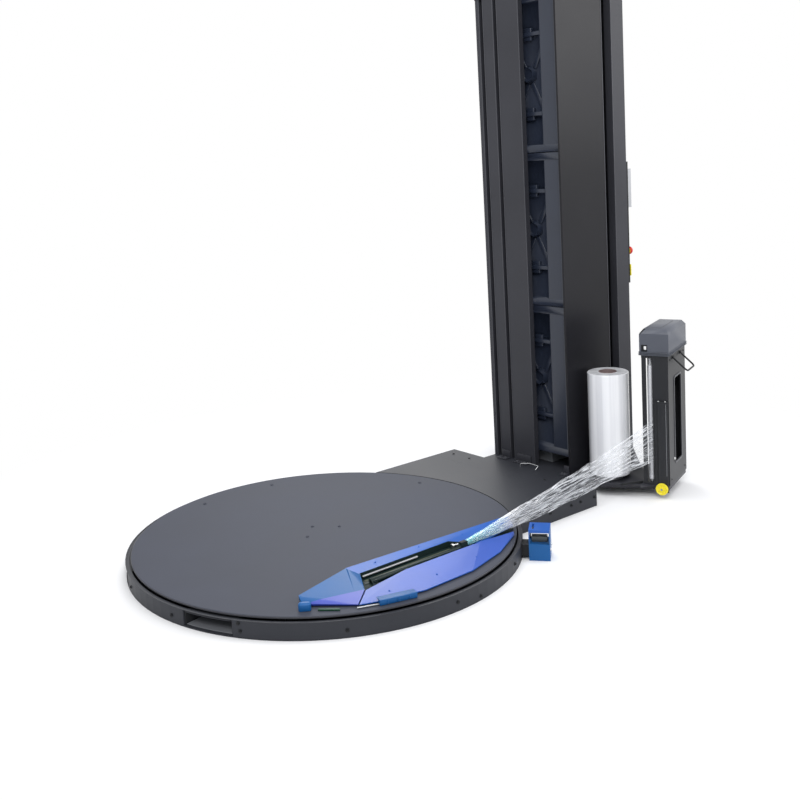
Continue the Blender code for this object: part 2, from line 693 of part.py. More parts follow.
def clamp_covers(blue):
    """Two folded covers, one on each side of the trough."""
    low = CLAMP_FLOOR
    bar = on_table([
        (-0.269, -0.558, RIDGE_UP),
        (0.742, -0.610, RIDGE_UP),
        (0.700, -0.694, LIP_UP),
        (0.425, -0.742, LIP_UP),
        (0.305, TROUGH_REAR, TROUGH_UP),
        (-0.252, TROUGH_REAR, TROUGH_UP),
    ])
    end = on_table([
        (-0.262, -0.558, RIDGE_UP),
        (-0.242, -0.632, TROUGH_UP),
        (-0.318, -0.766, LIP_UP),
        (-0.418, -0.848, RIM_UP),
        (-0.600, -0.679, RIM_UP + 0.004),
        (-0.576, -0.619, RIDGE_UP - 0.014),
    ])
    rear = make("clamp_rear_cover", sloped(bar, low), blue)
    boolean(rear, hull(end + [(x, y, low) for x, y, z in end]), "UNION")
    hollow = on_table([
        (-0.250, -0.572, RIDGE_UP - SHEET),
        (0.690, -0.620, RIDGE_UP - SHEET),
        (0.640, -0.670, LIP_UP - SHEET),
        (0.425, -0.700, LIP_UP - SHEET),
        (0.300, TROUGH_REAR + 0.006, LIP_UP - SHEET),
        (-0.245, TROUGH_REAR + 0.006, LIP_UP - SHEET),
    ])
    boolean(rear, sloped(hollow, low - SHEET))

    top = on_table([
        (-0.061, TROUGH_FRONT, TROUGH_UP - 0.002),
        (0.418, TROUGH_FRONT, TROUGH_UP - 0.002),
        (0.645, TROUGH_FRONT, LIP_UP),
    ])
    rim = on_table([
        (-0.314, -0.771, LIP_UP - 0.002),
        (-0.414, -0.853, RIM_UP),
        (-0.279, -0.906, RIM_UP),
        (-0.104, -0.940, RIM_UP),
        (0.190, -0.931, RIM_UP),
        (0.436, -0.863, RIM_UP),
        (0.642, -0.756, RIM_UP + 0.002),
    ])
    corners = top + rim
    front = make("clamp_front_cover", hull(corners + [(x, y, low) for x, y, z in corners]), blue)
    hollow = on_table([
        (-0.050, TROUGH_FRONT - 0.006, TROUGH_UP - 2 * SHEET),
        (0.410, TROUGH_FRONT - 0.006, TROUGH_UP - 2 * SHEET),
        (0.420, -0.845, RIM_UP - 0.001),
        (0.180, -0.908, RIM_UP - 0.001),
        (-0.100, -0.915, RIM_UP - 0.001),
    ])
    boolean(front, hull(hollow + [(x, y, low - SHEET) for x, y, z in hollow]))


def clamp_movers(steel, dark):
    """What works in the trough: the clamp arm, the cutter arm and their push rod."""
    left, right = [x * TABLE_R for x in PUSH_ROD_SPAN]
    rod_y = TROUGH_REAR * TABLE_R - PUSH_ROD_R - GAP
    push_rod = rod((left, rod_y, PIVOT_Z), (right, rod_y, PIVOT_Z), PUSH_ROD_R, 16)
    make("clamp_push_rod", push_rod, steel, smooth=40)

    left, right, middle = ARM_LEFT * TABLE_R, ARM_RIGHT * TABLE_R, ARM_Y * TABLE_R
    near = middle - ARM_WIDE / 2
    far = middle + ARM_WIDE / 2
    low = PIVOT_Z - ARM_HALF_HIGH
    high = PIVOT_Z + ARM_HALF_HIGH
    arm = box((left - ARM_TAIL, near, low), (right, far, high))
    arm = make("clamp_arm", arm, dark, pivot=(left, middle, PIVOT_Z))
    boolean(arm, box((right - PAD_LONG, near, high - 0.003), (right, far, PAD_TOP)), "UNION")
    reach = ARM_WIDE / 2 + GAP + EAR
    trunnion = rod((left, middle - reach, PIVOT_Z), (left, middle + reach, PIVOT_Z), TRUNNION_R, 16)
    boolean(arm, trunnion, "UNION")

    left, right = CUTTER_LEFT * TABLE_R, CUTTER_RIGHT * TABLE_R
    near = TROUGH_FRONT * TABLE_R + GAP
    far = near + CUTTER_WIDE
    low = PIVOT_Z - CUTTER_HALF_HIGH
    high = PIVOT_Z + CUTTER_HALF_HIGH
    cutter = box((left, near, low), (right + CUTTER_TAIL, far, high))
    cutter = make("cutter_arm", cutter, steel, pivot=(right, (near + far) / 2, PIVOT_Z))
    pin = rod((right, near + 0.001, PIVOT_Z), (right, far + GAP + EAR, PIVOT_Z), TRUNNION_R, 16)
    boolean(cutter, pin, "UNION")


def actuator_parts(blue, dark, steel):
    """Fixed box beside the table that trips the film clamp."""
    turn = ACTUATOR_TURN
    inner, outer = ACTUATOR_IN, ACTUATOR_OUT
    bracket = radial_box(turn, RING_R + GAP, inner - GAP, 0.030, 0.012, RING_TOP - 0.006)
    make("actuator_bracket", bracket, dark)
    case = make("actuator_box", radial_box(turn, inner, outer, ACTUATOR_HALF, 0, ACTUATOR_HIGH), blue)
    wall = 0.004
    reach = ACTUATOR_HALF + 0.05
    boolean(case, radial_box(turn, inner + wall, outer - wall, reach, MOUTH_LOW, MOUTH_HIGH))
    door = PUSHER_HALF + wall
    boolean(case, radial_box(turn, inner - 0.05, inner + 2 * wall, door, MOUTH_LOW, MOUTH_LOW + 0.026))
    slot = radial_box(turn, inner + 0.012, inner + 0.020, 0.028, MOUTH_HIGH - 0.01, ACTUATOR_HIGH + 0.01)
    boolean(case, slot)
    start = inner + 0.010
    pusher = radial_box(turn, start, outer - 0.012, PUSHER_HALF, MOUTH_LOW + GAP, MOUTH_LOW + 0.022)
    make("actuator_pusher", pusher, steel, pivot=radial(turn, start, 0, MOUTH_LOW))


# ---------------------------------------------------------------- mast
def mast_panels(paintwork):
    """Folded side panels, the wing beside the covers, the rear door and the cap."""
    front, rear, half = MAST_FRONT, MAST_REAR, MAST_HALF
    back = front + FOLD_DEEP
    slot_fold = -half + 0.040
    folds = {
        "mast_right_panel": [
            (front, -half + 0.010), (front, -half), (SLOT_LOW_X, -half), (SLOT_LOW_X, slot_fold)
        ],
        "mast_rear_panel": [
            (SLOT_HIGH_X, slot_fold), (SLOT_HIGH_X, -half), (rear, -half), (rear, REAR_DOOR_RIGHT - GAP)
        ],
        "mast_left_panel": [
            (rear, REAR_DOOR_LEFT + 0.002),
            (rear, half),
            (front, half),
            (front, GROOVE_LEFT),
            (back, GROOVE_LEFT),
            (back, GROOVE_RIGHT),
            (front, GROOVE_RIGHT),
            (front, STRIP_EDGE),
            (back, STRIP_EDGE),
        ],
        "mast_wing_panel": [
            (back - GAP, WING_LEFT),
            (front, WING_LEFT),
            (front, WING_RIGHT),
            (front + COVER_INSET - GAP, WING_RIGHT),
        ],
    }
    for name, line in folds.items():
        make(name, prism(folded(line, SHEET), MAST_FOOT, SHEET_TOP), paintwork)
    low = (rear - SHEET, REAR_DOOR_RIGHT, MAST_FOOT + 0.010)
    door = box(low, (rear, REAR_DOOR_LEFT, SHEET_TOP - 0.010))
    make("mast_rear_door", door, paintwork, pivot=(rear, REAR_DOOR_LEFT, MAST_FOOT))
    over = 0.002
    low = (front - over, -half - over, SHEET_TOP + GAP)
    cap = make("mast_top_cap", box(low, (rear + over, half + over, MAST_TOP)), paintwork)
    boolean(cap, box((front + SHEET, -half + SHEET, 0), (rear - SHEET, half - SHEET, MAST_TOP - SHEET)))


def mast_cover(name, index, moulding):
    """Moulded cover in the mast's front, with a deep panel."""
    low = COVER_LOW + index * COVER_PITCH
    high = low + COVER_PITCH - 0.004
    left = WING_LEFT - 0.010
    right = -MAST_HALF + SHEET + 0.002
    start = MAST_FRONT + COVER_INSET
    cover = make(name, box((start, right, low), (start + COVER_DEEP, left, high)), moulding)
    rim = COVER_RIM
    pocket_low = (start - 0.1, right + rim, low + rim)
    boolean(cover, box(pocket_low, (start + COVER_DEEP - 0.010, left - rim, high - rim)))


def mast_inside(steel, iron, dark):
    """Guide column, hoist motor with its pulley, and the strap down to the carriage."""
    half = COLUMN / 2
    low = (COLUMN_X - half, COLUMN_Y - half, MAST_FOOT)
    high = (COLUMN_X + half, COLUMN_Y + half, SHEET_TOP - 0.010)
    column = make("mast_column", box(low, high), steel)
    wall = COLUMN_WALL
    boolean(column, box((low[0] + wall, low[1] + wall, 0), (high[0] - wall, high[1] - wall, MAST_TOP)))

    x, y, z = PULLEY_X, PULLEY_Y, PULLEY_Z
    turn = Matrix.Translation((x, y, z)) @ Matrix.Rotation(math.radians(-90), 4, "X")
    shaft = 0.010
    face = 0.020
    profile = [(0, 0.06), (shaft, 0.06), (shaft, face), (PULLEY_R, face), (PULLEY_R, -face), (0, -face)]
    make("lift_pulley", turned(profile, turn), steel, pivot=(x, y, z), smooth=30)
    size = MOTOR_HALF
    near = y + 0.06 + GAP
    motor = make("lift_motor", box((x - size, near, z - size), (x + size, near + 0.1, z + size)), iron)
    can_y = near + 0.05
    boolean(motor, rod((x, can_y, z - 0.04), (x, can_y, z - 0.26), 0.045), "UNION")
    foot_x = x + PULLEY_R + 0.004
    foot = box((foot_x, COLUMN_Y + half + GAP, z - 0.055), (foot_x + 0.010, near + 0.002, z + 0.055))
    boolean(motor, foot, "UNION")
    strap_low = (SLOT_MID_X - 0.002, y - 0.015, TROLLEY_HIGH + GAP)
    make("lift_strap", box(strap_low, (SLOT_MID_X, y + 0.015, z)), dark)


def facing_back(z):
    """Place in the column of buttons, with Z pointing out of the panel."""
    return Matrix.Translation((CONTROL_FACE, BUTTON_Y, z)) @ Matrix.Rotation(math.radians(90), 4, "Y")


def control_parts(pale, dark, white, red, yellow):
    """Control box on the back of the mast, with its screen, buttons and main switch."""
    face = CONTROL_FACE
    half = CONTROL_WIDE / 2
    low = (MAST_REAR + GAP, CONTROL_Y - half, CONTROL_LOW)
    case = make("control_box", box(low, (face, CONTROL_Y + half, CONTROL_HIGH)), dark)
    deep = 0.008  # how far each control's stem goes into the box
    stems = ((START_Z, BUTTON_R), (STOP_Z, BUTTON_R), (ESTOP_Z, 0.0095), (ISOLATOR_Z, 0.0075))
    for z, radius in stems:
        boolean(case, pins([facing_back(z)], radius + 0.0005, 0.030, 20))
    screen_half = half - 0.006
    low = (face + GAP, CONTROL_Y - screen_half, DISPLAY_LOW)
    make("display", box(low, (face + DISPLAY_DEEP, CONTROL_Y + screen_half, DISPLAY_HIGH)), pale)

    def control(name, z, profile, material):
        return make(
            name, turned(profile, facing_back(z), 24), material, pivot=(face, BUTTON_Y, z), smooth=30
        )

    button = [(0, deep), (BUTTON_R, deep), (BUTTON_R, -deep), (0, -deep)]
    control("start_button", START_Z, button, white)
    control("stop_button", STOP_Z, button, white)
    stem = stems[2][1]
    mushroom = [(0, 0.034), (0.014, 0.033), (ESTOP_R, 0.026), (ESTOP_R, 0.020), (stem, 0.016)]
    control("e_stop_button", ESTOP_Z, mushroom + [(stem, -deep), (0, -deep)], red)
    size = KNOB_R + 0.004
    low = (face + GAP, BUTTON_Y - size, ISOLATOR_Z - size)
    plate = make("isolator_plate", box(low, (face + 0.004, BUTTON_Y + size, ISOLATOR_Z + size)), yellow)
    boolean(plate, pins([facing_back(ISOLATOR_Z)], 0.009, 0.020, 20))
    stem = stems[3][1]
    foot = 0.0043
    disc = [(0, 0.012), (KNOB_R - 0.002, 0.012), (KNOB_R, foot), (stem, foot), (stem, -deep), (0, -deep)]
    knob = control("isolator_knob", ISOLATOR_Z, disc, red)
    reach = KNOB_R - 0.003
    low = (face + 0.011, BUTTON_Y - 0.006, ISOLATOR_Z - reach)
    boolean(knob, box(low, (face + 0.030, BUTTON_Y + 0.006, ISOLATOR_Z + reach)), "UNION")


# ---------------------------------------------------------------- film carriage
def carriage_frame(paintwork, steel):
    """Trolley on the guide column, its arm through the slot, and the tray with its gusset."""
    arm_half = SLOT_WIDE / 2 - 0.009
    left = SLOT_MID_X - arm_half
    right = SLOT_MID_X + arm_half
    half = COLUMN / 2
    low = (left, TROLLEY_END + GAP, TROLLEY_LOW)
    trolley = make("carriage_trolley", box(low, (right, PULLEY_Y + 0.020, TROLLEY_HIGH)), steel)
    low = (right - 0.001, COLUMN_Y - half, TROLLEY_LOW)
    shoe = box(low, (COLUMN_X - half - GAP, COLUMN_Y + half, TROLLEY_HIGH))
    boolean(trolley, shoe, "UNION")
    roll_x, roll_y = ROLL_AT
    edge = roll_x - ROLL_R - 0.017
    near = 0.004
    beside_door = DOOR_EDGE + DOOR_WIDE + 0.012
    tray = [
        (edge, roll_y - 0.040),
        (roll_x, roll_y - ROLL_R - 0.080),
        tower(0, beside_door)[:2],
        tower(near, beside_door)[:2],
        tower(near, near)[:2],
        tower(TOWER_LONG, near)[:2],
        tower(TOWER_LONG, TOWER_WIDE)[:2],
        (right + 0.020, TROLLEY_END),
        (edge + 0.040, TROLLEY_END),
        (edge, roll_y + 0.070),
    ]
    plate = make("carriage_tray", prism(tray, TRAY_LOW, TRAY_TOP), paintwork)
    low = (left - 0.010, TROLLEY_END - BACK_PLATE, TRAY_LOW)
    boolean(plate, box(low, (right + 0.010, TROLLEY_END, TROLLEY_HIGH)), "UNION")
    foot = TRAY_LOW + 0.004
    wall = TROLLEY_END - BACK_PLATE / 2
    rib = [(wall, foot), (wall, 0.300), (wall - 0.140, foot)]
    gusset = hull([(x, y, z) for x in (SLOT_MID_X - 0.005, SLOT_MID_X + 0.005) for y, z in rib])
    boolean(plate, gusset, "UNION")


def film_parts(film, steel):
    """Mandrel and the roll of film that turns on it."""
    place = Matrix.Translation((*ROLL_AT, 0))
    low = TRAY_TOP + GAP
    foot = low + ROLL_LIFT
    post = CORE_R - 0.001
    mandrel = [
        (0, foot + ROLL_HIGH - 0.02),
        (0.012, foot + ROLL_HIGH - 0.02),
        (post, foot + ROLL_HIGH - 0.06),
        (post, foot),
        (0.060, foot),
        (0.060, low),
        (0, low),
    ]
    make("roll_mandrel", turned(mandrel, place), steel, smooth=30)
    start = foot + GAP
    roll = [(ROLL_R, start + ROLL_HIGH), (ROLL_R, start), (CORE_R, start), (CORE_R, start + ROLL_HIGH)]
    make("film_roll", turned(roll, place, 48), film, pivot=(*ROLL_AT, 0), smooth=30)


def tower_case(paintwork, grey):
    """Folded case of the film tower, and its cap."""
    low = TRAY_TOP + GAP
    wall = [(0, FRONT_PANEL), (0, 0), (TOWER_LONG, 0), (TOWER_LONG, TOWER_WIDE), (0.100, TOWER_WIDE)]
    case = make("tower_housing", prism(tower_plan(folded(wall, SHEET)), low, TOWER_TOP), paintwork)
    lap = 0.001  # how far inside the walls' faces the floor, the roof and the post stay
    far_u, far_v = TOWER_LONG - lap, TOWER_WIDE - lap
    slab = tower_plan([(lap, lap), (far_u, lap), (far_u, far_v), (lap, far_v)])
    boolean(case, prism(slab, low + GAP, low + TOWER_FLOOR), "UNION")
    boolean(case, prism(slab, TOWER_TOP - TOWER_ROOF, TOWER_TOP - GAP), "UNION")
    start = TOWER_WIDE - POST_WIDE
    post = [(0, start), (0.012, start), (0.012, far_v - lap), (0, far_v - lap)]
    boolean(case, prism(tower_plan(post), low + 2 * GAP, TOWER_TOP - 2 * GAP), "UNION")
    window = [(WINDOW_START, -0.02), (WINDOW_END, -0.02), (WINDOW_END, 0.02), (WINDOW_START, 0.02)]
    boolean(case, prism(tower_plan(window), WINDOW_LOW, WINDOW_HIGH))

    over = CAP_OVER
    long, wide = TOWER_LONG, TOWER_WIDE
    skirt = [(-over, -over), (long + over, -over), (long + over, wide + over), (-over, wide + over)]
    slope = 0.010
    top = [(slope, slope), (long - slope, slope), (long - slope, wide - slope), (slope, wide - slope)]
    foot = TOWER_TOP + GAP
    points = [tower(u, v, z) for u, v in skirt for z in (foot, foot + 0.016)]
    points += [tower(u, v, TOWER_CAP_TOP - 0.020) for u, v in skirt]
    points += [tower(u, v, TOWER_CAP_TOP) for u, v in top]
    cap = make("tower_cap", hull(points), grey)
    hollow = tower_plan([(0, 0), (long, 0), (long, wide), (0, wide)])
    boolean(cap, prism(hollow, 0, TOWER_CAP_TOP - 0.024))


def tower_roller(name, at, radius, material):
    """Roller between the tower's floor and its roof."""
    low = TRAY_TOP + GAP + TOWER_FLOOR
    high = TOWER_TOP - TOWER_ROOF
    shaft = 0.008
    end = 0.012
    profile = [
        (0, high - GAP),
        (shaft, high - GAP),
        (shaft, high - end),
        (radius, high - end),
        (radius, low + end),
        (shaft, low + end),
        (shaft, low + GAP),
        (0, low + GAP),
    ]
    middle = tower(*at)
    make(name, turned(profile, Matrix.Translation(middle), 24), material, pivot=middle, smooth=30)


def tower_door(paintwork, yellow):
    """Low door on the tower's front, with the roping wheel that turns on it."""
    edge, outer = DOOR_EDGE, -DOOR_THICK
    plan = [(outer, edge), (-GAP, edge), (-GAP, edge + DOOR_WIDE), (outer, edge + DOOR_WIDE)]
    door = prism(tower_plan(plan), DOOR_LOW, DOOR_HIGH)
    make("tower_door", door, paintwork, pivot=tower(outer, edge, DOOR_LOW))
    axle = tower(outer - GAP, edge + DOOR_WIDE / 2, ROPING_Z)
    facing = Vector(tower(-1, 0)) - Vector(tower(0, 0))
    turn = Matrix.Translation(axle) @ facing.to_track_quat("Z", "Y").to_matrix().to_4x4()
    hub = 0.008
    wheel = [(0, 0.016), (hub, 0.016), (ROPING_R, 0.013), (ROPING_R, 0.004), (hub, 0.003), (hub, 0), (0, 0)]
    make("roping_wheel", turned(wheel, turn, 28), yellow, pivot=axle, smooth=30)


def tower_handle(dark):
    """Bail handle of bent rod on the tower's side."""
    high = TOWER_TOP - HANDLE_DROP
    low = high - HANDLE_FALL
    start = -HANDLE_ROD + 0.0009
    route = [
        (HANDLE_START, start, high),
        (HANDLE_START, -HANDLE_OUT, low),
        (HANDLE_END, -HANDLE_OUT, low),
        (HANDLE_END, start, high),
    ]
    line = [Vector(tower(*place)) for place in route]
    along = (line[2] - line[1]).normalized() * (HANDLE_ROD - 0.001)
    handle = make("carriage_handle", rod(line[0], line[1], HANDLE_ROD, 10), dark, smooth=40)
    boolean(handle, rod(line[1] - along, line[2] + along, HANDLE_ROD, 10), "UNION")
    boolean(handle, rod(line[3], line[2], HANDLE_ROD, 10), "UNION")


def film_web(film):
    """The free stretch of film, from the clamp up to the tower, in two lengths that meet."""
    start = (ARM_RIGHT * TABLE_R + GAP, ARM_Y * TABLE_R, PAD_TOP - WEB_START_HIGH - 0.002, PAD_TOP - 0.002)
    lean = Vector((math.sin(TOWER_TURN), math.cos(TOWER_TURN)))
    leave = Vector(IDLER_AT) - lean * (IDLER_R + GAP + WEB / 2)
    end = (*tower(*leave)[:2], WEB_LOW, WEB_HIGH)
    middle = ((start[0] + end[0]) / 2, (start[1] + end[1]) / 2, *WEB_MIDDLE)
    meet = GAP / 2
    spans = (("film_web_lower", start, middle, 0, -meet), ("film_web_upper", middle, end, meet, 0))
    for name, a, b, shift_a, shift_b in spans:
        points = []
        for (x, y, low, high), shift in ((a, shift_a), (b, shift_b)):
            points += [(x + shift, y + side * WEB / 2, z) for side in (-1, 1) for z in (low, high)]
        make(name, hull(points), film)


def build():
    """Every piece of the machine."""
    clear_scene()
    grey = paint("table_paint", (0.115, 0.122, 0.148), 0.55)
    ring = paint("ring_paint", (0.050, 0.052, 0.058), 0.5)
    mast = paint("mast_paint", (0.075, 0.077, 0.088), 0.5)
    moulded = paint("moulded_cover", (0.034, 0.043, 0.065), 0.45)
    blue = paint("clamp_blue", (0.06, 0.16, 0.58), 0.45)
    dark = paint("dark_steel", (0.03, 0.03, 0.033), 0.5)
    steel = paint("bright_steel", (0.6, 0.6, 0.62), 0.3, 1.0)
    iron = paint("motor_grey", (0.18, 0.19, 0.2), 0.5)
    rubber = paint("roller_rubber", (0.03, 0.03, 0.03), 0.8)
    film = paint("stretch_film", (0.88, 0.9, 0.92), 0.15, 0.0, 0.6)
    cap = paint("cap_grey", (0.13, 0.145, 0.175), 0.5)
    aluminium = paint("aluminium", (0.75, 0.75, 0.77), 0.35, 1.0)
    yellow = paint("yellow", (0.85, 0.75, 0.03), 0.4)
    red = paint("red", (0.65, 0.02, 0.02), 0.35)
    white = paint("white", (0.8, 0.8, 0.8), 0.4)
    base_pan(ring)
    ring_skirt(ring)
    fork_pocket("fork_pocket_left", 1, dark)
    fork_pocket("fork_pocket_right", -1, dark)
    centre_spindle(steel)
    bridge_front_cover(grey)
    bridge_rear_cover(grey)
    drive_parts(steel, iron, dark)
    for index, angle in enumerate(WHEEL_ANGLES, 1):
        support_wheel(index, angle, rubber)
    turntable_parts(grey, iron)
    clamp_base(blue)
    clamp_covers(blue)
    clamp_movers(steel, dark)
    actuator_parts(blue, dark, steel)
    mast_panels(mast)
    for index, name in enumerate(("mast_cover_lower", "mast_cover_middle", "mast_cover_upper")):
        mast_cover(name, index, moulded)
    mast_inside(steel, iron, dark)
    control_parts(white, dark, white, red, yellow)
    carriage_frame(mast, steel)
    film_parts(film, steel)
    tower_case(mast, cap)
    tower_roller("idler_roller", IDLER_AT, IDLER_R, aluminium)
    tower_roller("prestretch_roller_front", FRONT_STRETCH_AT, STRETCH_R, rubber)
    tower_roller("prestretch_roller_rear", REAR_STRETCH_AT, STRETCH_R, rubber)
    tower_door(mast, yellow)
    tower_handle(dark)
    film_web(film)


build()
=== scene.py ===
# %% [markdown]
# # A turntable pallet wrapper, finished in Blender
#
# The machine has three parts that the eye reads at once: a low round table with a blue film clamp on its
# edge, a tall folded-steel mast, and a film carriage that climbs the mast with its roll and its tower.
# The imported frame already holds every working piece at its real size. This script gives each of them its
# finish, and replaces the plain ones with modelled pieces that have folds, screws, lips and seams.

import json
import math

import bmesh
import bpy
from mathutils import Matrix, Vector, noise


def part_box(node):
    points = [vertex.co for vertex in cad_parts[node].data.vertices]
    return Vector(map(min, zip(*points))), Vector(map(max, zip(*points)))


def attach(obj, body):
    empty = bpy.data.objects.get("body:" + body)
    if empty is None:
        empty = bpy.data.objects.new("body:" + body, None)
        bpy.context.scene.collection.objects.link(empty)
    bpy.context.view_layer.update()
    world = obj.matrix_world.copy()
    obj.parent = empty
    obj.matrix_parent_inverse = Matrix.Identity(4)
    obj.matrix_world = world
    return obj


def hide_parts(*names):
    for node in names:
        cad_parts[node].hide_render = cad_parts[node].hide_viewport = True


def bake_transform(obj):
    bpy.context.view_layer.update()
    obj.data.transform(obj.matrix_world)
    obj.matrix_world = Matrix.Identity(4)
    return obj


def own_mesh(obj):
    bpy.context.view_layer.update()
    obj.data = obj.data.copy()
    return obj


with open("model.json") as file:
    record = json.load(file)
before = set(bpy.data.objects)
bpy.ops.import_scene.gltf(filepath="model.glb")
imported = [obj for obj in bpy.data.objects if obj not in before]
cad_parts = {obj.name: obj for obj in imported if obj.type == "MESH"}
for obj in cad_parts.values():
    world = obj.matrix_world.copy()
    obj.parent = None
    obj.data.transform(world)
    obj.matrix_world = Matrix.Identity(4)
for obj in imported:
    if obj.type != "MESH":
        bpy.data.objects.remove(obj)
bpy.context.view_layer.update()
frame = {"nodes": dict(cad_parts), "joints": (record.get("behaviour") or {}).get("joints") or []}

# %% [markdown]
# ## Places that the other cells use
#
# A joint's place and axis say where a moving piece turns, and a node's box says how far it reaches. The
# film tower stands at an angle, so it gets its own axes: `along` its long side, `across` it, and up.

# %% Tower axes and joint places
joints = {joint["name"]: joint for joint in frame["joints"]}


def joint_at(name):
    """A joint's place at rest."""
    return Vector(joints[name]["pos_m"])


def box_of(name):
    """The low and high corners of a node's box."""
    return [Vector(corner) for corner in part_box(name)]


DOOR_THICK = 0.012
DOOR_EDGE = 0.004
TABLE_Z = 0.080
along = -Vector(joints["roping_wheel_spin"]["axis"]).normalized()
across = Vector((-along.y, along.x, 0))
hinge_foot = joint_at("tower_door_hinge")
tower_corner = Vector((hinge_foot.x, hinge_foot.y, 0)) + along * DOOR_THICK - across * DOOR_EDGE
tower_frame = Matrix.Translation(tower_corner) @ Matrix((along, across, (0, 0, 1))).transposed().to_4x4()
TOWER_LONG = 0.290
TOWER_WIDE = 0.124
print("tower turned", round(math.degrees(math.atan2(along.y, along.x)), 1), "degrees")

# %% [markdown]
# ## Helpers for making a piece
#
# Every piece is built in place, in metres, so its object stays at the origin. A bmesh starts from a cube,
# a cone or an outline, and these few helpers are the moves that repeat: add a block, add a round bar, spin
# a profile, raise an outline, and round the edges. `piece` turns the bmesh into an object that rides on
# a body of the frame.


# %% Building helpers
SHARP = math.radians(30)
WELD = 1e-6


def block(bm, low, high, place=Matrix.Identity(4)):
    """Add a box between two corners and return its vertices."""
    low, high = Vector(low), Vector(high)
    size = Matrix.Diagonal((*(high - low), 1))
    made = bmesh.ops.create_cube(bm, size=1, matrix=place @ Matrix.Translation((low + high) / 2) @ size)
    return made["verts"]


def bar(bm, start, end, radius, sides=24):
    """Add a round bar from start to end."""
    start, end = Vector(start), Vector(end)
    run = end - start
    turn = run.to_track_quat("Z", "Y").to_matrix().to_4x4()
    made = bmesh.ops.create_cone(
        bm,
        cap_ends=True,
        segments=sides,
        radius1=radius,
        radius2=radius,
        depth=run.length,
        matrix=Matrix.Translation((start + end) / 2) @ turn,
    )
    return made["verts"]


def raise_outline(bm, outline, low, high, place=Matrix.Identity(4)):
    """Add a prism: an outline in the plane, drawn up from low to high."""
    face = bm.faces.new([bm.verts.new((x, y, low)) for x, y in outline])
    grown = bmesh.ops.extrude_face_region(bm, geom=[face])
    tops = [v for v in grown["geom"] if isinstance(v, bmesh.types.BMVert)]
    bmesh.ops.translate(bm, verts=tops, vec=(0, 0, high - low))
    verts = list({*face.verts, *tops})
    bmesh.ops.transform(bm, matrix=place, verts=verts)
    return verts


def spin_profile(bm, profile, place=Matrix.Identity(4), steps=48):
    """Add a turned shape: a closed profile of (radius, height) spun round the local Z axis."""
    ring = [bm.verts.new((r, 0, z)) for r, z in profile]
    edges = [bm.edges.new(pair) for pair in zip(ring, ring[1:] + ring[:1])]
    before = set(bm.verts) - set(ring)
    bmesh.ops.spin(
        bm, geom=ring + edges, cent=(0, 0, 0), axis=(0, 0, 1), angle=math.tau, steps=steps, use_merge=True
    )
    verts = [v for v in bm.verts if v not in before]
    bmesh.ops.remove_doubles(bm, verts=verts, dist=WELD)
    verts = [v for v in bm.verts if v not in before]
    bmesh.ops.transform(bm, matrix=place, verts=verts)
    return verts


def soften(bm, width, segments=2, verts=None):
    """Round the sharp edges, of the whole bmesh or of some vertices."""
    chosen = set(verts) if verts else None
    sharp = [
        e
        for e in bm.edges
        if e.is_manifold
        and e.calc_face_angle(0) > SHARP
        and (chosen is None or (e.verts[0] in chosen and e.verts[1] in chosen))
    ]
    bmesh.ops.bevel(
        bm, geom=sharp, offset=width, segments=segments, profile=0.5, affect="EDGES", material=-1,
        clamp_overlap=True,
    )


def everything(bm):
    """All the vertices, edges and faces of a bmesh."""
    return bm.verts[:] + bm.edges[:] + bm.faces[:]


def piece(name, bm, material, body, smooth=35):
    """Turn a bmesh into a finished piece that rides on a body."""
    bmesh.ops.remove_doubles(bm, verts=bm.verts[:], dist=WELD)
    bmesh.ops.recalc_face_normals(bm, faces=bm.faces[:])
    mesh = bpy.data.meshes.new(name)
    bm.to_mesh(mesh)
    bm.free()
    mesh.materials.append(material)
    mesh.shade_smooth()
    mesh.set_sharp_from_angle(angle=math.radians(smooth))
    made = bpy.data.objects.new(name, mesh)
    bpy.context.scene.collection.objects.link(made)
    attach(made, body)
    print("made", name, "with", len(mesh.polygons), "faces")
    return made


# %% [markdown]
# ## Powder coat, plastic and metal
#
# Nearly every panel is powder-coated steel. The coat has a fine orange-peel surface and a very slight
# change of tone over a large panel. One function builds that node tree, with Object coordinates, so that
# the pattern has the same scale on every piece. Metals get a stretched noise for their brushed lines.


# %% Material helpers
def new_material(name):
    """A new material, its node tree and its shader."""
    made = bpy.data.materials.new(name)
    made.use_nodes = True
    tree = made.node_tree
    return made, tree, tree.nodes["Principled BSDF"]


def node(tree, kind, links=(), **values):
    """Add a node, set its inputs and properties, and link sockets into it."""
    made = tree.nodes.new(kind)
    for key, value in values.items():
        if key in made.inputs:
            made.inputs[key].default_value = value
        else:
            setattr(made, key, value)
    for socket, source in links:
        tree.links.new(source, made.inputs[socket])
    return made


def pattern_space(tree, scale=(1, 1, 1)):
    """Object coordinates, stretched by scale."""
    where = node(tree, "ShaderNodeTexCoord")
    spread = node(tree, "ShaderNodeMapping", [("Vector", where.outputs["Object"])])
    spread.inputs["Scale"].default_value = scale
    return spread.outputs["Vector"]


def tone(tree, shader, colour, space, scale, amount):
    """A slow change of tone: the colour a little darker and a little lighter."""
    clouds = node(tree, "ShaderNodeTexNoise", [("Vector", space)], Scale=scale, Detail=4.0)
    ramp = node(tree, "ShaderNodeValToRGB", [("Fac", clouds.outputs["Fac"])])
    ramp.color_ramp.elements[0].position = 0.3
    ramp.color_ramp.elements[1].position = 0.7
    ramp.color_ramp.elements[0].color = (*[c * (1 - amount) for c in colour], 1)
    ramp.color_ramp.elements[1].color = (*[min(1, c * (1 + amount)) for c in colour], 1)
    tree.links.new(ramp.outputs["Color"], shader.inputs["Base Color"])
    return clouds


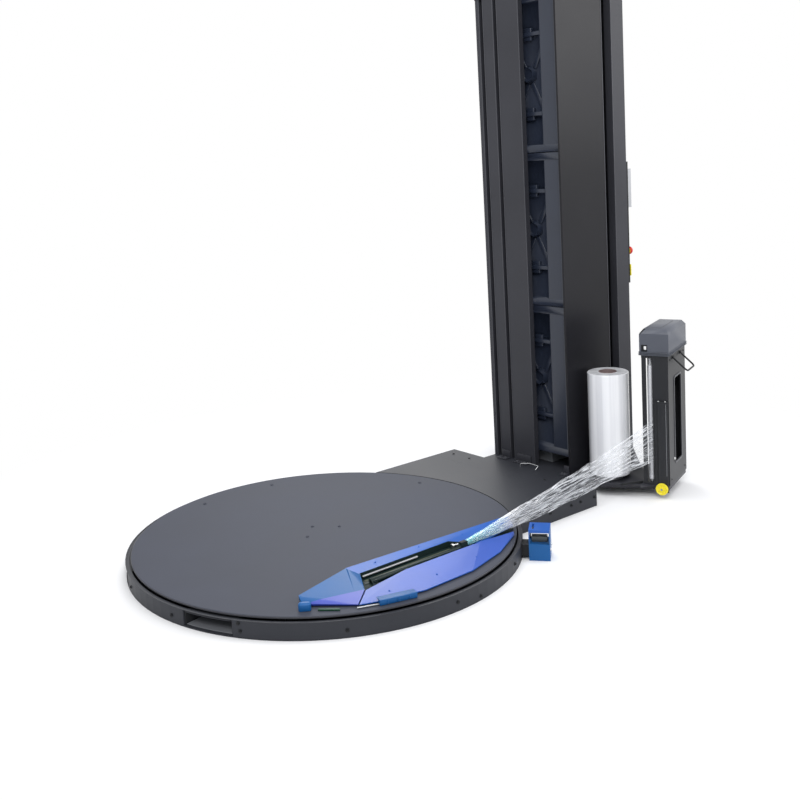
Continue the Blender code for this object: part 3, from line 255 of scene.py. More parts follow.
def grain(tree, shader, space, scale, depth, detail=3.0):
    """A fine bump."""
    fine = node(tree, "ShaderNodeTexNoise", [("Vector", space)], Scale=scale, Detail=detail)
    bump = node(tree, "ShaderNodeBump", [("Height", fine.outputs["Fac"])], Strength=0.35, Distance=depth)
    tree.links.new(bump.outputs["Normal"], shader.inputs["Normal"])


def roughen(tree, shader, source, low, high):
    """Let the roughness wander between two values."""
    spread = node(tree, "ShaderNodeMapRange", [("Value", source)])
    spread.inputs["To Min"].default_value = low
    spread.inputs["To Max"].default_value = high
    tree.links.new(spread.outputs["Result"], shader.inputs["Roughness"])


def powder_coat(name, colour, rough=0.48, amount=0.10, shine=0.22):
    """Powder-coated steel with a fine orange peel."""
    made, tree, shader = new_material(name)
    space = pattern_space(tree)
    clouds = tone(tree, shader, colour, space, 3.0, amount)
    roughen(tree, shader, clouds.outputs["Fac"], rough - 0.07, rough + 0.07)
    grain(tree, shader, space, 420.0, 0.0004)
    shader.inputs["Specular IOR Level"].default_value = shine
    return made


def moulded(name, colour, rough=0.42, amount=0.08):
    """Moulded plastic or rubber with a faint texture."""
    made, tree, shader = new_material(name)
    space = pattern_space(tree)
    clouds = tone(tree, shader, colour, space, 6.0, amount)
    roughen(tree, shader, clouds.outputs["Fac"], rough - 0.05, rough + 0.06)
    grain(tree, shader, space, 900.0, 0.0003, 1.0)
    return made


def metal(name, colour, rough=0.3, lines=(1, 1, 60)):
    """Bare metal whose noise is stretched into brushed lines."""
    made, tree, shader = new_material(name)
    shader.inputs["Metallic"].default_value = 1.0
    space = pattern_space(tree, lines)
    clouds = tone(tree, shader, colour, space, 12.0, 0.10)
    roughen(tree, shader, clouds.outputs["Fac"], rough - 0.08, rough + 0.10)
    grain(tree, shader, space, 30.0, 0.0001)
    return made


# %% The finishes of this machine
table_grey = powder_coat("table_grey", (0.058, 0.063, 0.082), 0.58, shine=0.12)
ring_grey = powder_coat("ring_grey", (0.032, 0.034, 0.041), 0.46, shine=0.20)
mast_grey = powder_coat("mast_grey", (0.040, 0.041, 0.049), 0.38)
# The mast's own grey made much darker for its right side panel: painted shade on that side.
mast_side_shade_grey = powder_coat("mast_side_shade_grey", (0.011, 0.011, 0.014), 0.34, shine=0.20)
tower_grey = powder_coat("tower_grey", (0.026, 0.027, 0.030), 0.38, shine=0.18)
# A paler grey: painted highlight on the mast's hems and slot lips and on the table's edge band; also the
# colour of the tower's window frame and the mast screws.
pale_grey_and_edge_highlight = powder_coat("pale_grey_and_edge_highlight", (0.070, 0.072, 0.082), 0.36)
cover_plastic = moulded("cover_plastic", (0.019, 0.025, 0.042), 0.30)
cap_plastic = moulded("cap_plastic", (0.078, 0.086, 0.108), 0.42)
# The clamp's blues. Besides their own use, teal and violet are painted light and shade on the cap's facets,
# clamp_blue is painted shade on the broad cover's rim, and teal is painted shade low on the actuator case.
clamp_blue = powder_coat("clamp_blue", (0.020, 0.104, 0.420), 0.36, shine=0.30)
clamp_pale = powder_coat("clamp_pale", (0.050, 0.110, 0.450), 0.32, shine=0.30)
clamp_teal = powder_coat("clamp_teal", (0.009, 0.098, 0.300), 0.40, shine=0.25)
black_steel = powder_coat("black_steel", (0.014, 0.015, 0.017), 0.45)
clamp_violet = powder_coat("clamp_violet", (0.045, 0.075, 0.420), 0.34, shine=0.35)
olive_steel = powder_coat("olive_steel", (0.090, 0.098, 0.066), 0.50)
pale_plate = powder_coat("pale_plate", (0.150, 0.156, 0.168), 0.60)
foot_green = powder_coat("foot_green", (0.010, 0.050, 0.028), 0.45)
dark_metal = metal("dark_metal", (0.10, 0.11, 0.11), 0.40)
# Dark green: the clamp arm's and the trough's colour, and also painted shade on the cover's wall over the
# trough and inside the actuator's mouth.
deep_green = powder_coat("deep_green", (0.010, 0.022, 0.021), 0.40)
bright_steel = metal("bright_steel", (0.62, 0.63, 0.65))
dull_steel = metal("dull_steel", (0.34, 0.35, 0.37), 0.42)
roller_aluminium = metal("roller_aluminium", (0.62, 0.63, 0.66), 0.46, (1, 1, 40))
roller_aluminium.node_tree.nodes["Principled BSDF"].inputs["Metallic"].default_value = 0.35
motor_grey = powder_coat("motor_grey", (0.16, 0.17, 0.18), 0.5)
roller_rubber = moulded("roller_rubber", (0.020, 0.020, 0.021), 0.65)
signal_yellow = moulded("signal_yellow", (0.85, 0.72, 0.020), 0.38)
signal_red = moulded("signal_red", (0.62, 0.012, 0.014), 0.30)
button_white = moulded("button_white", (0.80, 0.80, 0.79), 0.36)
pale_housing = moulded("pale_housing", (0.42, 0.43, 0.45), 0.40)
screen_grey = moulded("screen_grey", (0.50, 0.53, 0.56), 0.25)
print("finishes:", len(bpy.data.materials))

# %% [markdown]
# ## The camera and the light
#
# The camera stands low and to the left of the table's front, and looks a little down. Four large soft
# lamps and a pale world light the machine from all sides, and the world is white to the camera, so the
# machine stands on a white floor with its own soft shadow.

# %% Camera
SENSOR = 36.0
LENS = 46.3545
SHIFT = (0.0875, -0.1125)


def add_camera(turn, tip, roll, place):
    """A camera by its heading, its downward tip and its roll, in degrees, and its place."""
    data = bpy.data.cameras.new("camera")
    data.sensor_width = SENSOR
    data.lens = LENS
    data.shift_x, data.shift_y = SHIFT
    data.clip_end = 60
    made = bpy.data.objects.new("camera", data)
    yaw, pitch = math.radians(turn), math.radians(tip)
    look = Vector((math.cos(pitch) * math.cos(yaw), math.cos(pitch) * math.sin(yaw), -math.sin(pitch)))
    turned_to = look.to_track_quat("-Z", "Y").to_matrix() @ Matrix.Rotation(math.radians(roll), 3, "Z")
    made.matrix_world = Matrix.Translation(place) @ turned_to.to_4x4()
    bpy.context.scene.collection.objects.link(made)
    bpy.context.scene.camera = made
    return made


camera = add_camera(54.734, 8.597, -3.918, (-2.3941, -3.5477, 1.6955))
print("camera at", [round(x, 2) for x in camera.location])

# %% Light, world and floor
bpy.context.scene.view_settings.view_transform = "Standard"


def add_lamp(name, place, aim, size, power):
    """A soft square lamp that points at aim."""
    data = bpy.data.lights.new(name, "AREA")
    data.shape = "RECTANGLE"
    data.size = data.size_y = size
    data.energy = power
    made = bpy.data.objects.new(name, data)
    made.location = place
    made.rotation_euler = (Vector(aim) - Vector(place)).to_track_quat("-Z", "Y").to_euler()
    bpy.context.scene.collection.objects.link(made)


add_lamp("key", (-3.0, -4.2, 5.2), (0.6, 0, 0.4), 3.0, 210)
add_lamp("fill", (4.5, -4.0, 3.2), (1.2, -0.2, 0.8), 3.0, 110)
add_lamp("rim", (3.5, 4.5, 4.0), (1.0, 0, 0.8), 3.0, 120)
add_lamp("top", (0.6, 0.0, 5.8), (0.6, 0, 0), 4.0, 130)

world = bpy.data.worlds.new("studio")
world.use_nodes = True
bpy.context.scene.world = world
sky = world.node_tree
sky.nodes.clear()
path = node(sky, "ShaderNodeLightPath")
seen = path.outputs["Is Camera Ray"]
for ray in ("Is Glossy Ray", "Is Transmission Ray"):
    either = node(sky, "ShaderNodeMath", [(0, seen), (1, path.outputs[ray])], operation="MAXIMUM")
    seen = either.outputs[0]
plain = node(sky, "ShaderNodeBackground", Color=(0.92, 0.94, 1.0, 1), Strength=0.55)
white = node(sky, "ShaderNodeBackground", Color=(1, 1, 1, 1), Strength=1.0)
mixed = node(sky, "ShaderNodeMixShader", [(0, seen), (1, plain.outputs[0]), (2, white.outputs[0])])
node(sky, "ShaderNodeOutputWorld", [("Surface", mixed.outputs[0])])

floor_mesh = bpy.data.meshes.new("studio_floor")
floor_bm = bmesh.new()
bmesh.ops.create_grid(floor_bm, x_segments=1, y_segments=1, size=30)
bmesh.ops.translate(floor_bm, verts=floor_bm.verts[:], vec=(0, 0, -0.0005))
floor_bm.to_mesh(floor_mesh)
floor_bm.free()
studio_floor = bpy.data.objects.new("studio_floor", floor_mesh)
bpy.context.scene.collection.objects.link(studio_floor)
floor_paint, floor_tree, floor_shader = new_material("floor_paint")
floor_shader.inputs["Base Color"].default_value = (0.93, 0.93, 0.93, 1)
floor_shader.inputs["Roughness"].default_value = 0.9
floor_spot = node(floor_tree, "ShaderNodeTexCoord")
floor_away = node(
    floor_tree, "ShaderNodeVectorMath", [(0, floor_spot.outputs["Object"])], operation="DISTANCE"
)
floor_away.inputs[1].default_value = (0.6, 0, 0)
floor_fade = node(floor_tree, "ShaderNodeMapRange", [("Value", floor_away.outputs["Value"])])
floor_fade.inputs["From Min"].default_value = 1.25
floor_fade.inputs["From Max"].default_value = 2.6
floor_glow = node(floor_tree, "ShaderNodeEmission", Color=(1, 1, 1, 1), Strength=1.0)
floor_mix = node(
    floor_tree,
    "ShaderNodeMixShader",
    [(0, floor_fade.outputs["Result"]), (1, floor_shader.outputs[0]), (2, floor_glow.outputs[0])],
)
floor_tree.links.new(floor_mix.outputs[0], floor_tree.nodes["Material Output"].inputs["Surface"])
floor_mesh.materials.append(floor_paint)

# %% [markdown]
# ## Finishes of the frame's own nodes
#
# Where the frame's solid already has the right shape it stays, and only its finish changes. The table says
# which finish each node gets.

# %% Give each node its finish
node_finish = {
    table_grey: ["turntable_plate"],
    ring_grey: ["base_pan", "ring_skirt", "bridge_front_cover", "bridge_rear_cover"],
    mast_grey: [
        "mast_rear_panel", "mast_left_panel", "mast_wing_panel", "mast_top_cap",
        "mast_rear_door", "carriage_tray",
    ],
    tower_grey: ["tower_housing", "tower_door"],
    # The right side panel takes the darker copy of the mast's grey: painted shade.
    mast_side_shade_grey: ["mast_right_panel"],
    cover_plastic: ["mast_cover_lower", "mast_cover_middle", "mast_cover_upper"],
    cap_plastic: ["tower_cap"],
    clamp_blue: ["clamp_rear_cover"],
    clamp_pale: ["clamp_front_cover"],
    clamp_teal: ["actuator_box"],
    black_steel: [
        "fork_pocket_left", "fork_pocket_right", "drive_chain", "lift_strap", "actuator_bracket",
        "carriage_handle", "control_box",
    ],
    deep_green: ["clamp_arm"],
    bright_steel: ["roll_mandrel", "cutter_arm"],
    dark_metal: ["actuator_pusher"],
    dull_steel: [
        "clamp_push_rod", "centre_spindle", "mast_column", "carriage_trolley", "lift_pulley",
        "drive_sprocket", "table_sprocket",
    ],
    roller_aluminium: ["idler_roller"],
    motor_grey: ["drive_motor", "lift_motor"],
    roller_rubber: [
        "prestretch_roller_front", "prestretch_roller_rear",
        "support_wheel_1", "support_wheel_2", "support_wheel_3", "support_wheel_4",
    ],
    signal_yellow: ["roping_wheel", "isolator_plate"],
    signal_red: ["e_stop_button", "isolator_knob"],
    button_white: ["start_button", "stop_button"],
    screen_grey: ["display"],
}
for finish, names in node_finish.items():
    for name in names:
        mesh = frame["nodes"][name].data
        mesh.materials.clear()
        mesh.materials.append(finish)
print("nodes finished:", sum(len(names) for names in node_finish.values()))

# %% [markdown]
# ## More helpers: start from the frame, screws, bent rods
#
# A folded cover already has its exact shape in the frame, so `folded` starts its piece from that solid and
# gives it the rounded folds of real sheet. Screws are button heads with a socket, set square to the surface
# they hold. A bent rod follows a few corner points, each rounded off to the bend radius.


# %% Helpers for covers, screws and rods
def from_node(bm, name):
    """Add the frame's own solid, with its flat faces joined."""
    before = set(bm.faces)
    bm.from_mesh(frame["nodes"][name].data)
    faces = [f for f in bm.faces if f not in before]
    edges = list({e for f in faces for e in f.edges})
    verts = list({v for f in faces for v in f.verts})
    bmesh.ops.dissolve_limit(bm, angle_limit=0.01, verts=verts, edges=edges)


def folded(name, node_name, finish, body, width, segments, smooth=35):
    """A node's own solid with its edges rounded, which then takes the node's place."""
    bm = bmesh.new()
    from_node(bm, node_name)
    soften(bm, width, segments)
    made = piece(name, bm, finish, body, smooth)
    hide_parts(node_name)
    return made


def level(degrees):
    """A unit vector in the XY plane, at an angle from +X in degrees."""
    turn = math.radians(degrees)
    return Vector((math.cos(turn), math.sin(turn), 0))


def facing(place, out):
    """A matrix at a place whose Z axis points along out."""
    return Matrix.Translation(place) @ Vector(out).to_track_quat("Z", "Y").to_matrix().to_4x4()


def screw(bm, place, out, radius=0.006, high=0.0035):
    """Add a button-head screw with a round socket."""
    matrix = facing(place, out)
    made = bmesh.ops.create_cone(
        bm, cap_ends=True, segments=18, radius1=radius, radius2=radius * 0.78, depth=high * 1.4,
        matrix=matrix @ Matrix.Translation((0, 0, high * 0.3)),
    )
    ends = [f for v in made["verts"] for f in v.link_faces if len(f.verts) > 4]
    top = max(ends, key=lambda f: f.calc_center_median().dot(Vector(out)))
    bmesh.ops.inset_region(bm, faces=[top], thickness=radius * 0.36, use_even_offset=True)
    bmesh.ops.translate(bm, verts=top.verts[:], vec=Vector(out).normalized() * -high * 0.5)


def washer_screw(bm, place, out, radius=0.008):
    """Add a screw that stands on a washer."""
    start = Vector(place)
    out = Vector(out).normalized()
    bar(bm, start - out * 0.001, start + out * 0.0015, radius * 1.45, 24)
    screw(bm, start + out * 0.0015, out, radius)


def bent_rod(bm, corners, radius, bend):
    """Add a round rod through corner points, with rounded bends."""
    points = [Vector(p) for p in corners]
    route = [points[0]]
    for before, corner, after in zip(points, points[1:], points[2:]):
        start = corner + (before - corner).normalized() * bend
        end = corner + (after - corner).normalized() * bend
        for step in range(9):
            t = step / 8
            route.append(start * (1 - t) ** 2 + corner * 2 * t * (1 - t) + end * t * t)
    route.append(points[-1])
    curve = bpy.data.curves.new("rod", "CURVE")
    curve.dimensions = "3D"
    curve.bevel_depth = radius
    curve.bevel_resolution = 5
    curve.use_fill_caps = True
    line = curve.splines.new("POLY")
    line.points.add(len(route) - 1)
    for target, place in zip(line.points, route):
        target.co = (*place, 1)
    holder = bpy.data.objects.new("rod", curve)
    mesh = bpy.data.meshes.new_from_object(holder)
    bm.from_mesh(mesh)
    bpy.data.objects.remove(holder)
    bpy.data.curves.remove(curve)
    bpy.data.meshes.remove(mesh)


def frame_ring(bm, width, height, corner, rim, thick, place):
    """Add a flat rounded frame, in the local XY plane and up to thick along Z."""
    made = bmesh.ops.create_grid(bm, x_segments=1, y_segments=1, size=0.5)
    bmesh.ops.scale(bm, verts=made["verts"], vec=(width, height, 1))
    bmesh.ops.bevel(
        bm, geom=made["verts"], offset=corner, segments=5, profile=0.5, affect="VERTICES", material=-1
    )
    bm.faces.ensure_lookup_table()
    face = bm.faces[0]
    ring = bmesh.ops.inset_region(
        bm, faces=[face], thickness=rim, use_boundary=True, use_even_offset=True
    )["faces"]
    bmesh.ops.delete(bm, geom=[face], context="FACES_ONLY")
    grown = bmesh.ops.extrude_face_region(bm, geom=ring)
    tops = [v for v in grown["geom"] if isinstance(v, bmesh.types.BMVert)]
    bmesh.ops.translate(bm, verts=tops, vec=(0, 0, thick))
    bmesh.ops.transform(bm, matrix=place, verts=bm.verts[:])


def paint_faces(made, materials, choose):
    """Give a piece more finishes, and let a rule pick one for each face."""
    for material in materials:
        made.data.materials.append(material)
    for face in made.data.polygons:
        face.material_index = choose(face.center, face.normal)


# %% [markdown]
# ## The film on its roll
#
# Stretch film is clear, but hundreds of layers on a roll turn white and a little milky, with soft upright
# bands where the layers bunch. The roll is a turned shape whose ends are wound in faint steps, and the core
# is a separate brown cardboard tube that stands a little proud inside it.

# %% The film roll and its core
film_wound, film_tree, film_shader = new_material("film_wound")
film_space = pattern_space(film_tree, (26, 26, 0.5))
film_bands = node(film_tree, "ShaderNodeTexNoise", [("Vector", film_space)], Scale=1.0, Detail=5.0)
film_ramp = node(film_tree, "ShaderNodeValToRGB", [("Fac", film_bands.outputs["Fac"])])
film_ramp.color_ramp.elements[0].position = 0.32
film_ramp.color_ramp.elements[0].color = (0.70, 0.71, 0.74, 1)
film_ramp.color_ramp.elements[1].position = 0.60
film_ramp.color_ramp.elements[1].color = (0.90, 0.91, 0.93, 1)
film_tree.links.new(film_ramp.outputs["Color"], film_shader.inputs["Base Color"])
roughen(film_tree, film_shader, film_bands.outputs["Fac"], 0.10, 0.34)
film_dents = node(
    film_tree, "ShaderNodeBump", [("Height", film_bands.outputs["Fac"])], Strength=0.5, Distance=0.002
)
film_tree.links.new(film_dents.outputs["Normal"], film_shader.inputs["Normal"])
film_shader.inputs["Coat Weight"].default_value = 0.5
film_shader.inputs["Coat Roughness"].default_value = 0.06

cardboard = moulded("cardboard", (0.20, 0.145, 0.140), 0.8, 0.2)

roll_low, roll_high = box_of("film_roll")
roll_middle = (roll_low + roll_high) / 2
roll_radius = (roll_high.x - roll_low.x) / 2
roll_axis = Matrix.Translation((roll_middle.x, roll_middle.y, 0))
core_outer = 0.0425
core_inner = 0.0385
bm = bmesh.new()
ends = []
for step in range(9):
    r = core_outer + (roll_radius - 0.003 - core_outer) * step / 8
    ends.append((r, 0.0012 * (step % 2) + 0.0006 * noise.noise((step, 3.1, 0))))
profile = [(r, roll_low.z + 0.001 + dip) for r, dip in ends]
profile += [(roll_radius, roll_low.z + 0.004), (roll_radius, roll_high.z - 0.004)]
profile += [(r, roll_high.z - 0.0015 - dip) for r, dip in reversed(ends)]
spin_profile(bm, profile, roll_axis, 72)
wound = piece("wound_film", bm, film_wound, "film_roll")
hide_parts("film_roll")

bm = bmesh.new()
profile = [(core_inner, roll_low.z), (core_outer - 0.0002, roll_low.z)]
profile += [(core_outer - 0.0002, roll_high.z + 0.001), (core_inner, roll_high.z + 0.001)]
spin_profile(bm, profile, roll_axis, 72)
soften(bm, 0.0006, 2)
piece("film_core", bm, cardboard, "film_roll")

# %% [markdown]
# ## The free length of film
#
# Between the clamp and the tower the film hangs in the air, gathered into a rope at the clamp and opening
# into pleats toward the tower. Each half is a grid whose rows are laid in pleats: where the band is narrow
# the pleats are deep, so that every cross-section holds nearly the same width of film. The two halves meet
# in the middle.

# %% Film material with streaks
film_clear = bpy.data.materials.new("film_clear")
film_clear.use_nodes = True
tree = film_clear.node_tree
tree.nodes.clear()
film_uv = node(tree, "ShaderNodeUVMap", uv_map="film")
film_stretch = node(tree, "ShaderNodeMapping", [("Vector", film_uv.outputs["UV"])])
film_stretch.inputs["Scale"].default_value = (13, 46, 1)
film_streaks = node(
    tree, "ShaderNodeTexNoise", [("Vector", film_stretch.outputs["Vector"])],
    Scale=1.0, Detail=8.0, Distortion=1.4,
)
streak_ramp = node(tree, "ShaderNodeMapRange", [("Value", film_streaks.outputs["Fac"])])
for socket, value in (("From Min", 0.47), ("From Max", 0.66), ("To Min", 0.06), ("To Max", 0.80)):
    streak_ramp.inputs[socket].default_value = value
film_split = node(tree, "ShaderNodeSeparateXYZ", [("Vector", film_uv.outputs["UV"])])
film_tint = node(tree, "ShaderNodeValToRGB", [("Fac", film_split.outputs["X"])])
film_tint.color_ramp.elements[0].position = 0.03
film_tint.color_ramp.elements[0].color = (0.20, 0.72, 0.80, 1)
film_tint.color_ramp.elements[1].position = 0.20
film_tint.color_ramp.elements[1].color = (0.90, 0.92, 0.95, 1)
film_bump = node(
    tree, "ShaderNodeBump", [("Height", film_streaks.outputs["Fac"])], Strength=0.6, Distance=0.004
)
film_skin = node(
    tree,
    "ShaderNodeBsdfPrincipled",
    [("Base Color", film_tint.outputs["Color"]), ("Alpha", streak_ramp.outputs["Result"]),
     ("Normal", film_bump.outputs["Normal"])],
    Roughness=0.16,
)
film_skin.inputs["Coat Weight"].default_value = 0.6
node(tree, "ShaderNodeOutputMaterial", [("Surface", film_skin.outputs[0])])

# %% The two pleated lengths
WEB_START = Vector((box_of("film_web_lower")[0].x, -0.590, 0.110))
WEB_END = Vector((box_of("film_web_upper")[1].x, -0.5875, 0.2735))
WEB_HALF = ((0.0, 0.008), (0.12, 0.024), (0.25, 0.040), (0.5, 0.054), (0.8, 0.078), (1.0, 0.103))
FILM_WIDTH = 0.50
PLEATS = 9
KEPT = 0.80


def web_half(t):
    """Half the band's height at t, from the clamp to the tower."""
    for (t0, h0), (t1, h1) in zip(WEB_HALF, WEB_HALF[1:]):
        if t <= t1:
            return h0 + (h1 - h0) * (t - t0) / (t1 - t0)
    return WEB_HALF[-1][1]


def film_length(name, t_start, t_end, node_name):
    """One pleated length of the web."""
    along_steps, across_steps = 60, PLEATS * 12
    bm = bmesh.new()
    uv = bm.loops.layers.uv.new("film")
    bmesh.ops.create_grid(bm, x_segments=along_steps, y_segments=across_steps, size=0.5)
    spots = {}
    for vert in bm.verts:
        t = t_start + (t_end - t_start) * (vert.co.x + 0.5)
        w = vert.co.y + 0.5
        spots[vert] = (t, w)
        half = web_half(t)
        middle = WEB_START.lerp(WEB_END, t)
        deep = math.sqrt(max(0.0, (FILM_WIDTH * KEPT) ** 2 - (2 * half) ** 2)) / (4 * PLEATS)
        wander = noise.noise((t * 3.0, w * 5.0, 0.4))
        pleat = math.sin(math.tau * (PLEATS * w + 0.25 * wander))
        ragged = 0.10 * half * noise.noise((t * 7.0, w * 3.0, 2.2)) * math.sin(math.pi * t)
        sag = -0.012 * math.sin(math.pi * t)
        height = (w - 0.5) * 2 * half + ragged + sag
        height += 0.006 * math.sin(math.pi * t) * noise.noise((t * 14.0, w * 8.0, 7.0))
        vert.co = (middle.x, middle.y + deep * pleat, middle.z + height)
    for face in bm.faces:
        for loop in face.loops:
            loop[uv].uv = spots[loop.vert]
    mesh = bpy.data.meshes.new(name)
    bm.to_mesh(mesh)
    bm.free()
    mesh.materials.append(film_clear)
    mesh.shade_smooth()
    made = bpy.data.objects.new(name, mesh)
    bpy.context.scene.collection.objects.link(made)
    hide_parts(node_name)
    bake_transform(made)
    area = sum(face.area for face in mesh.polygons)
    print(name, "holds", round(area, 3), "square metres of film")


film_length("film_from_clamp", 0.0, 0.5, "film_web_lower")
film_length("film_to_tower", 0.5, 1.0, "film_web_upper")

# %% [markdown]
# ## The film clamp
#
# The clamp is a flat ship of folded blue sheet on the table's edge: a long faceted cover behind a dark
# trough, a broad low cover in front of it, and between them the arm that pinches the film's tail. The
# covers start from the frame's solids and get rounded folds. The dark floor of the trough has a paler
# guide strip and rivets, and the covers are held by small screws.

# %% Clamp covers with rounded folds
FACET_AT = Vector((-0.40, -0.592, 0))
FACET = Vector((0.067, 0.233, 0)).normalized()


def cap_painted_light_and_shade(centre, normal):
    """Painted light and shade on one blue sheet: the wall over the trough is painted dark green as shade, and
    the cap's upper facet is painted tealer than its lower, violet one.
    """
    if normal.y < -0.4 and centre.y > -0.60 and centre.x > -0.245:
        return 3
    if centre.x > -0.225:
        return 0
    return 1 if (centre - FACET_AT).dot(FACET) > 0 else 2


def broad_rim_shade_and_end(centre, normal):
    """The broad cover's rim is painted a deeper blue as shade on its sides, and its left end is violet."""
    if normal.z < 0.5 and centre.z < 0.092:
        return 2
    return 1 if centre.x < -0.24 else 0


bm = bmesh.new()
from_node(bm, "clamp_rear_cover")
soften(bm, 0.0026, 3)
# The cut splits the cap into two facets, so that each takes its own painted tone of light.
bmesh.ops.bisect_plane(bm, geom=everything(bm), dist=1e-5, plane_co=FACET_AT, plane_no=FACET)
made = piece("clamp_long_cover", bm, clamp_blue, "turntable", 40)
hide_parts("clamp_rear_cover")
paint_faces(made, (clamp_teal, clamp_violet, deep_green), cap_painted_light_and_shade)

made = folded("clamp_broad_cover", "clamp_front_cover", clamp_pale, "turntable", 0.0026, 3, 14)
paint_faces(made, (clamp_violet, clamp_blue), broad_rim_shade_and_end)

bm = bmesh.new()
for x, y, z in ((-0.10, -0.493, 0.1145), (0.12, -0.495, 0.1145), (0.34, -0.512, 0.1125)):
    screw(bm, (x, y, z - 0.0005), (0.02, -0.08, 1), 0.0045, 0.0026)
for x, y, z in ((-0.20, -0.700, 0.0945), (0.02, -0.715, 0.0960), (0.24, -0.700, 0.0965)):
    screw(bm, (x, y, z - 0.0005), (0, -0.15, 1), 0.0042, 0.0024)
piece("clamp_screws", bm, clamp_blue, "turntable")

# %% The trough: floor, strip, rivets and the guide at the film's exit
made = folded("clamp_base_plate", "clamp_base", clamp_teal, "turntable", 0.0008, 2, 40)
paint_faces(made, (deep_green,), lambda c, n: 1 if c.y > -0.72 and c.z > TABLE_Z + 0.0042 else 0)
bm = bmesh.new()
block(bm, (-0.215, -0.574, TABLE_Z + 0.0046), (0.330, -0.528, TABLE_Z + 0.0056))
soften(bm, 0.0004, 1)
piece("trough_floor", bm, deep_green, "turntable")
bm = bmesh.new()
strip = [(-0.20, -0.5570), (0.24, -0.5520), (0.24, -0.5430), (-0.20, -0.5455)]
raise_outline(bm, strip, TABLE_Z + 0.0056, TABLE_Z + 0.0064)
piece("trough_strip", bm, olive_steel, "turntable")
bm = bmesh.new()
for x in (-0.16, -0.08, 0.0, 0.08, 0.16):
    screw(bm, (x, -0.5655, TABLE_Z + 0.0058), (0, 0, 1), 0.0032, 0.0018)
piece("trough_rivets", bm, dull_steel, "turntable")

bm = bmesh.new()
for shift, turn_y in ((0.0, -0.548), (0.020, -0.556)):
    block(
        bm, (0.252 + shift, turn_y - 0.012, TABLE_Z + 0.006), (0.262 + shift, turn_y + 0.010, TABLE_Z + 0.022)
    )
bar(bm, (0.250, -0.552, TABLE_Z + 0.017), (0.300, -0.560, TABLE_Z + 0.017), 0.0045, 16)
bar(bm, (0.300, -0.572, TABLE_Z + 0.006), (0.300, -0.572, TABLE_Z + 0.024), 0.006, 20)
bar(bm, (0.320, -0.560, TABLE_Z + 0.006), (0.320, -0.560, TABLE_Z + 0.020), 0.004, 16)
soften(bm, 0.0008, 2)
piece("film_exit_guide", bm, bright_steel, "turntable")

# %% The clamp's own brackets: tip block, foot, edge rod and front bracket
bm = bmesh.new()
tip = Matrix.Translation((-0.502, -0.588, 0)) @ Matrix.Rotation(math.radians(-36), 4, "Z")
block(bm, (-0.023, -0.013, TABLE_Z + 0.0004), (0.023, 0.013, TABLE_Z + 0.030), tip)
tip_edges = [
    e for e in bm.edges if abs((e.verts[1].co - e.verts[0].co).z) > 0.02 or e.verts[0].co.z > 0.1
]
bmesh.ops.bevel(bm, geom=tip_edges, offset=0.006, segments=1, profile=0.5, affect="EDGES", material=-1)
soften(bm, 0.0010, 2)
piece("clamp_tip_block", bm, clamp_teal, "turntable")
bm = bmesh.new()
foot = Matrix.Translation((-0.437, -0.648, 0)) @ Matrix.Rotation(math.radians(-43), 4, "Z")
block(bm, (-0.040, -0.010, TABLE_Z + 0.0004), (0.040, 0.004, TABLE_Z + 0.0060), foot)
soften(bm, 0.0010, 2)
piece("clamp_green_foot", bm, foot_green, "turntable")
bm = bmesh.new()
bar(bm, (-0.360, -0.712, TABLE_Z + 0.0036), (-0.262, -0.752, TABLE_Z + 0.0036), 0.0032, 16)
soften(bm, 0.0006, 2)
piece("clamp_edge_rod", bm, dull_steel, "turntable")
bm = bmesh.new()
turn = Matrix.Rotation(math.radians(-105.5), 4, "Z")
block(bm, (0.7860, -0.074, TABLE_Z + 0.0012), (0.8028, 0.074, TABLE_Z + 0.0215), turn)
block(bm, (0.7660, -0.074, TABLE_Z + 0.0180), (0.8020, 0.074, TABLE_Z + 0.0213), turn)
soften(bm, 0.0012, 2)
piece("clamp_front_bracket", bm, clamp_teal, "turntable")
bm = bmesh.new()
for degrees in (-102.4, -105.5, -108.6):
    out = level(degrees)
    washer_screw(bm, out * 0.8030 + Vector((0, 0, TABLE_Z + 0.010)), out, 0.0042)
piece("clamp_bracket_screws", bm, clamp_teal, "turntable")

# %% Clamp arm with its rubber pad
folded("clamp_arm_rounded", "clamp_arm", deep_green, "clamp_arm", 0.0012, 2)
arm_end = box_of("clamp_arm")[1]
bm = bmesh.new()
block(bm, (arm_end.x - 0.033, -0.5985, arm_end.z), (arm_end.x - 0.001, -0.5815, arm_end.z + 0.0018))
soften(bm, 0.0007, 2)
for x in (arm_end.x - 0.026, arm_end.x - 0.017, arm_end.x - 0.008):
    block(bm, (x - 0.0015, -0.5980, arm_end.z + 0.0012), (x + 0.0015, -0.5820, arm_end.z + 0.0026))
piece("clamp_pad", bm, roller_rubber, "clamp_arm")

# %% [markdown]
# ## The box that trips the clamp
#
# Beside the table stands a small fixed box with a mouth: its pusher trips the clamp as it comes past. The
# box is folded from one sheet, painted blue above and darker teal below as light and shade, with painted
# shade inside its mouth, and two screws.

# %% Actuator box
made = folded("actuator_case", "actuator_box", clamp_teal, "base", 0.0022, 3, 40)
case_low, case_high = box_of("actuator_box")
case_spot = Vector(((case_low.x + case_high.x) / 2, (case_low.y + case_high.y) / 2, 0))


def case_painted_shade(centre, normal):
    """The inside of the mouth is painted dark green as shade, and the case is painted bluer above than below
    as light and shade on one sheet.
    """
    if TABLE_Z - 0.0115 < centre.z < TABLE_Z + 0.0395 and (centre - case_spot).dot(normal) < 0.0305:
        return 2
    return 1 if centre.z > TABLE_Z + 0.018 else 0


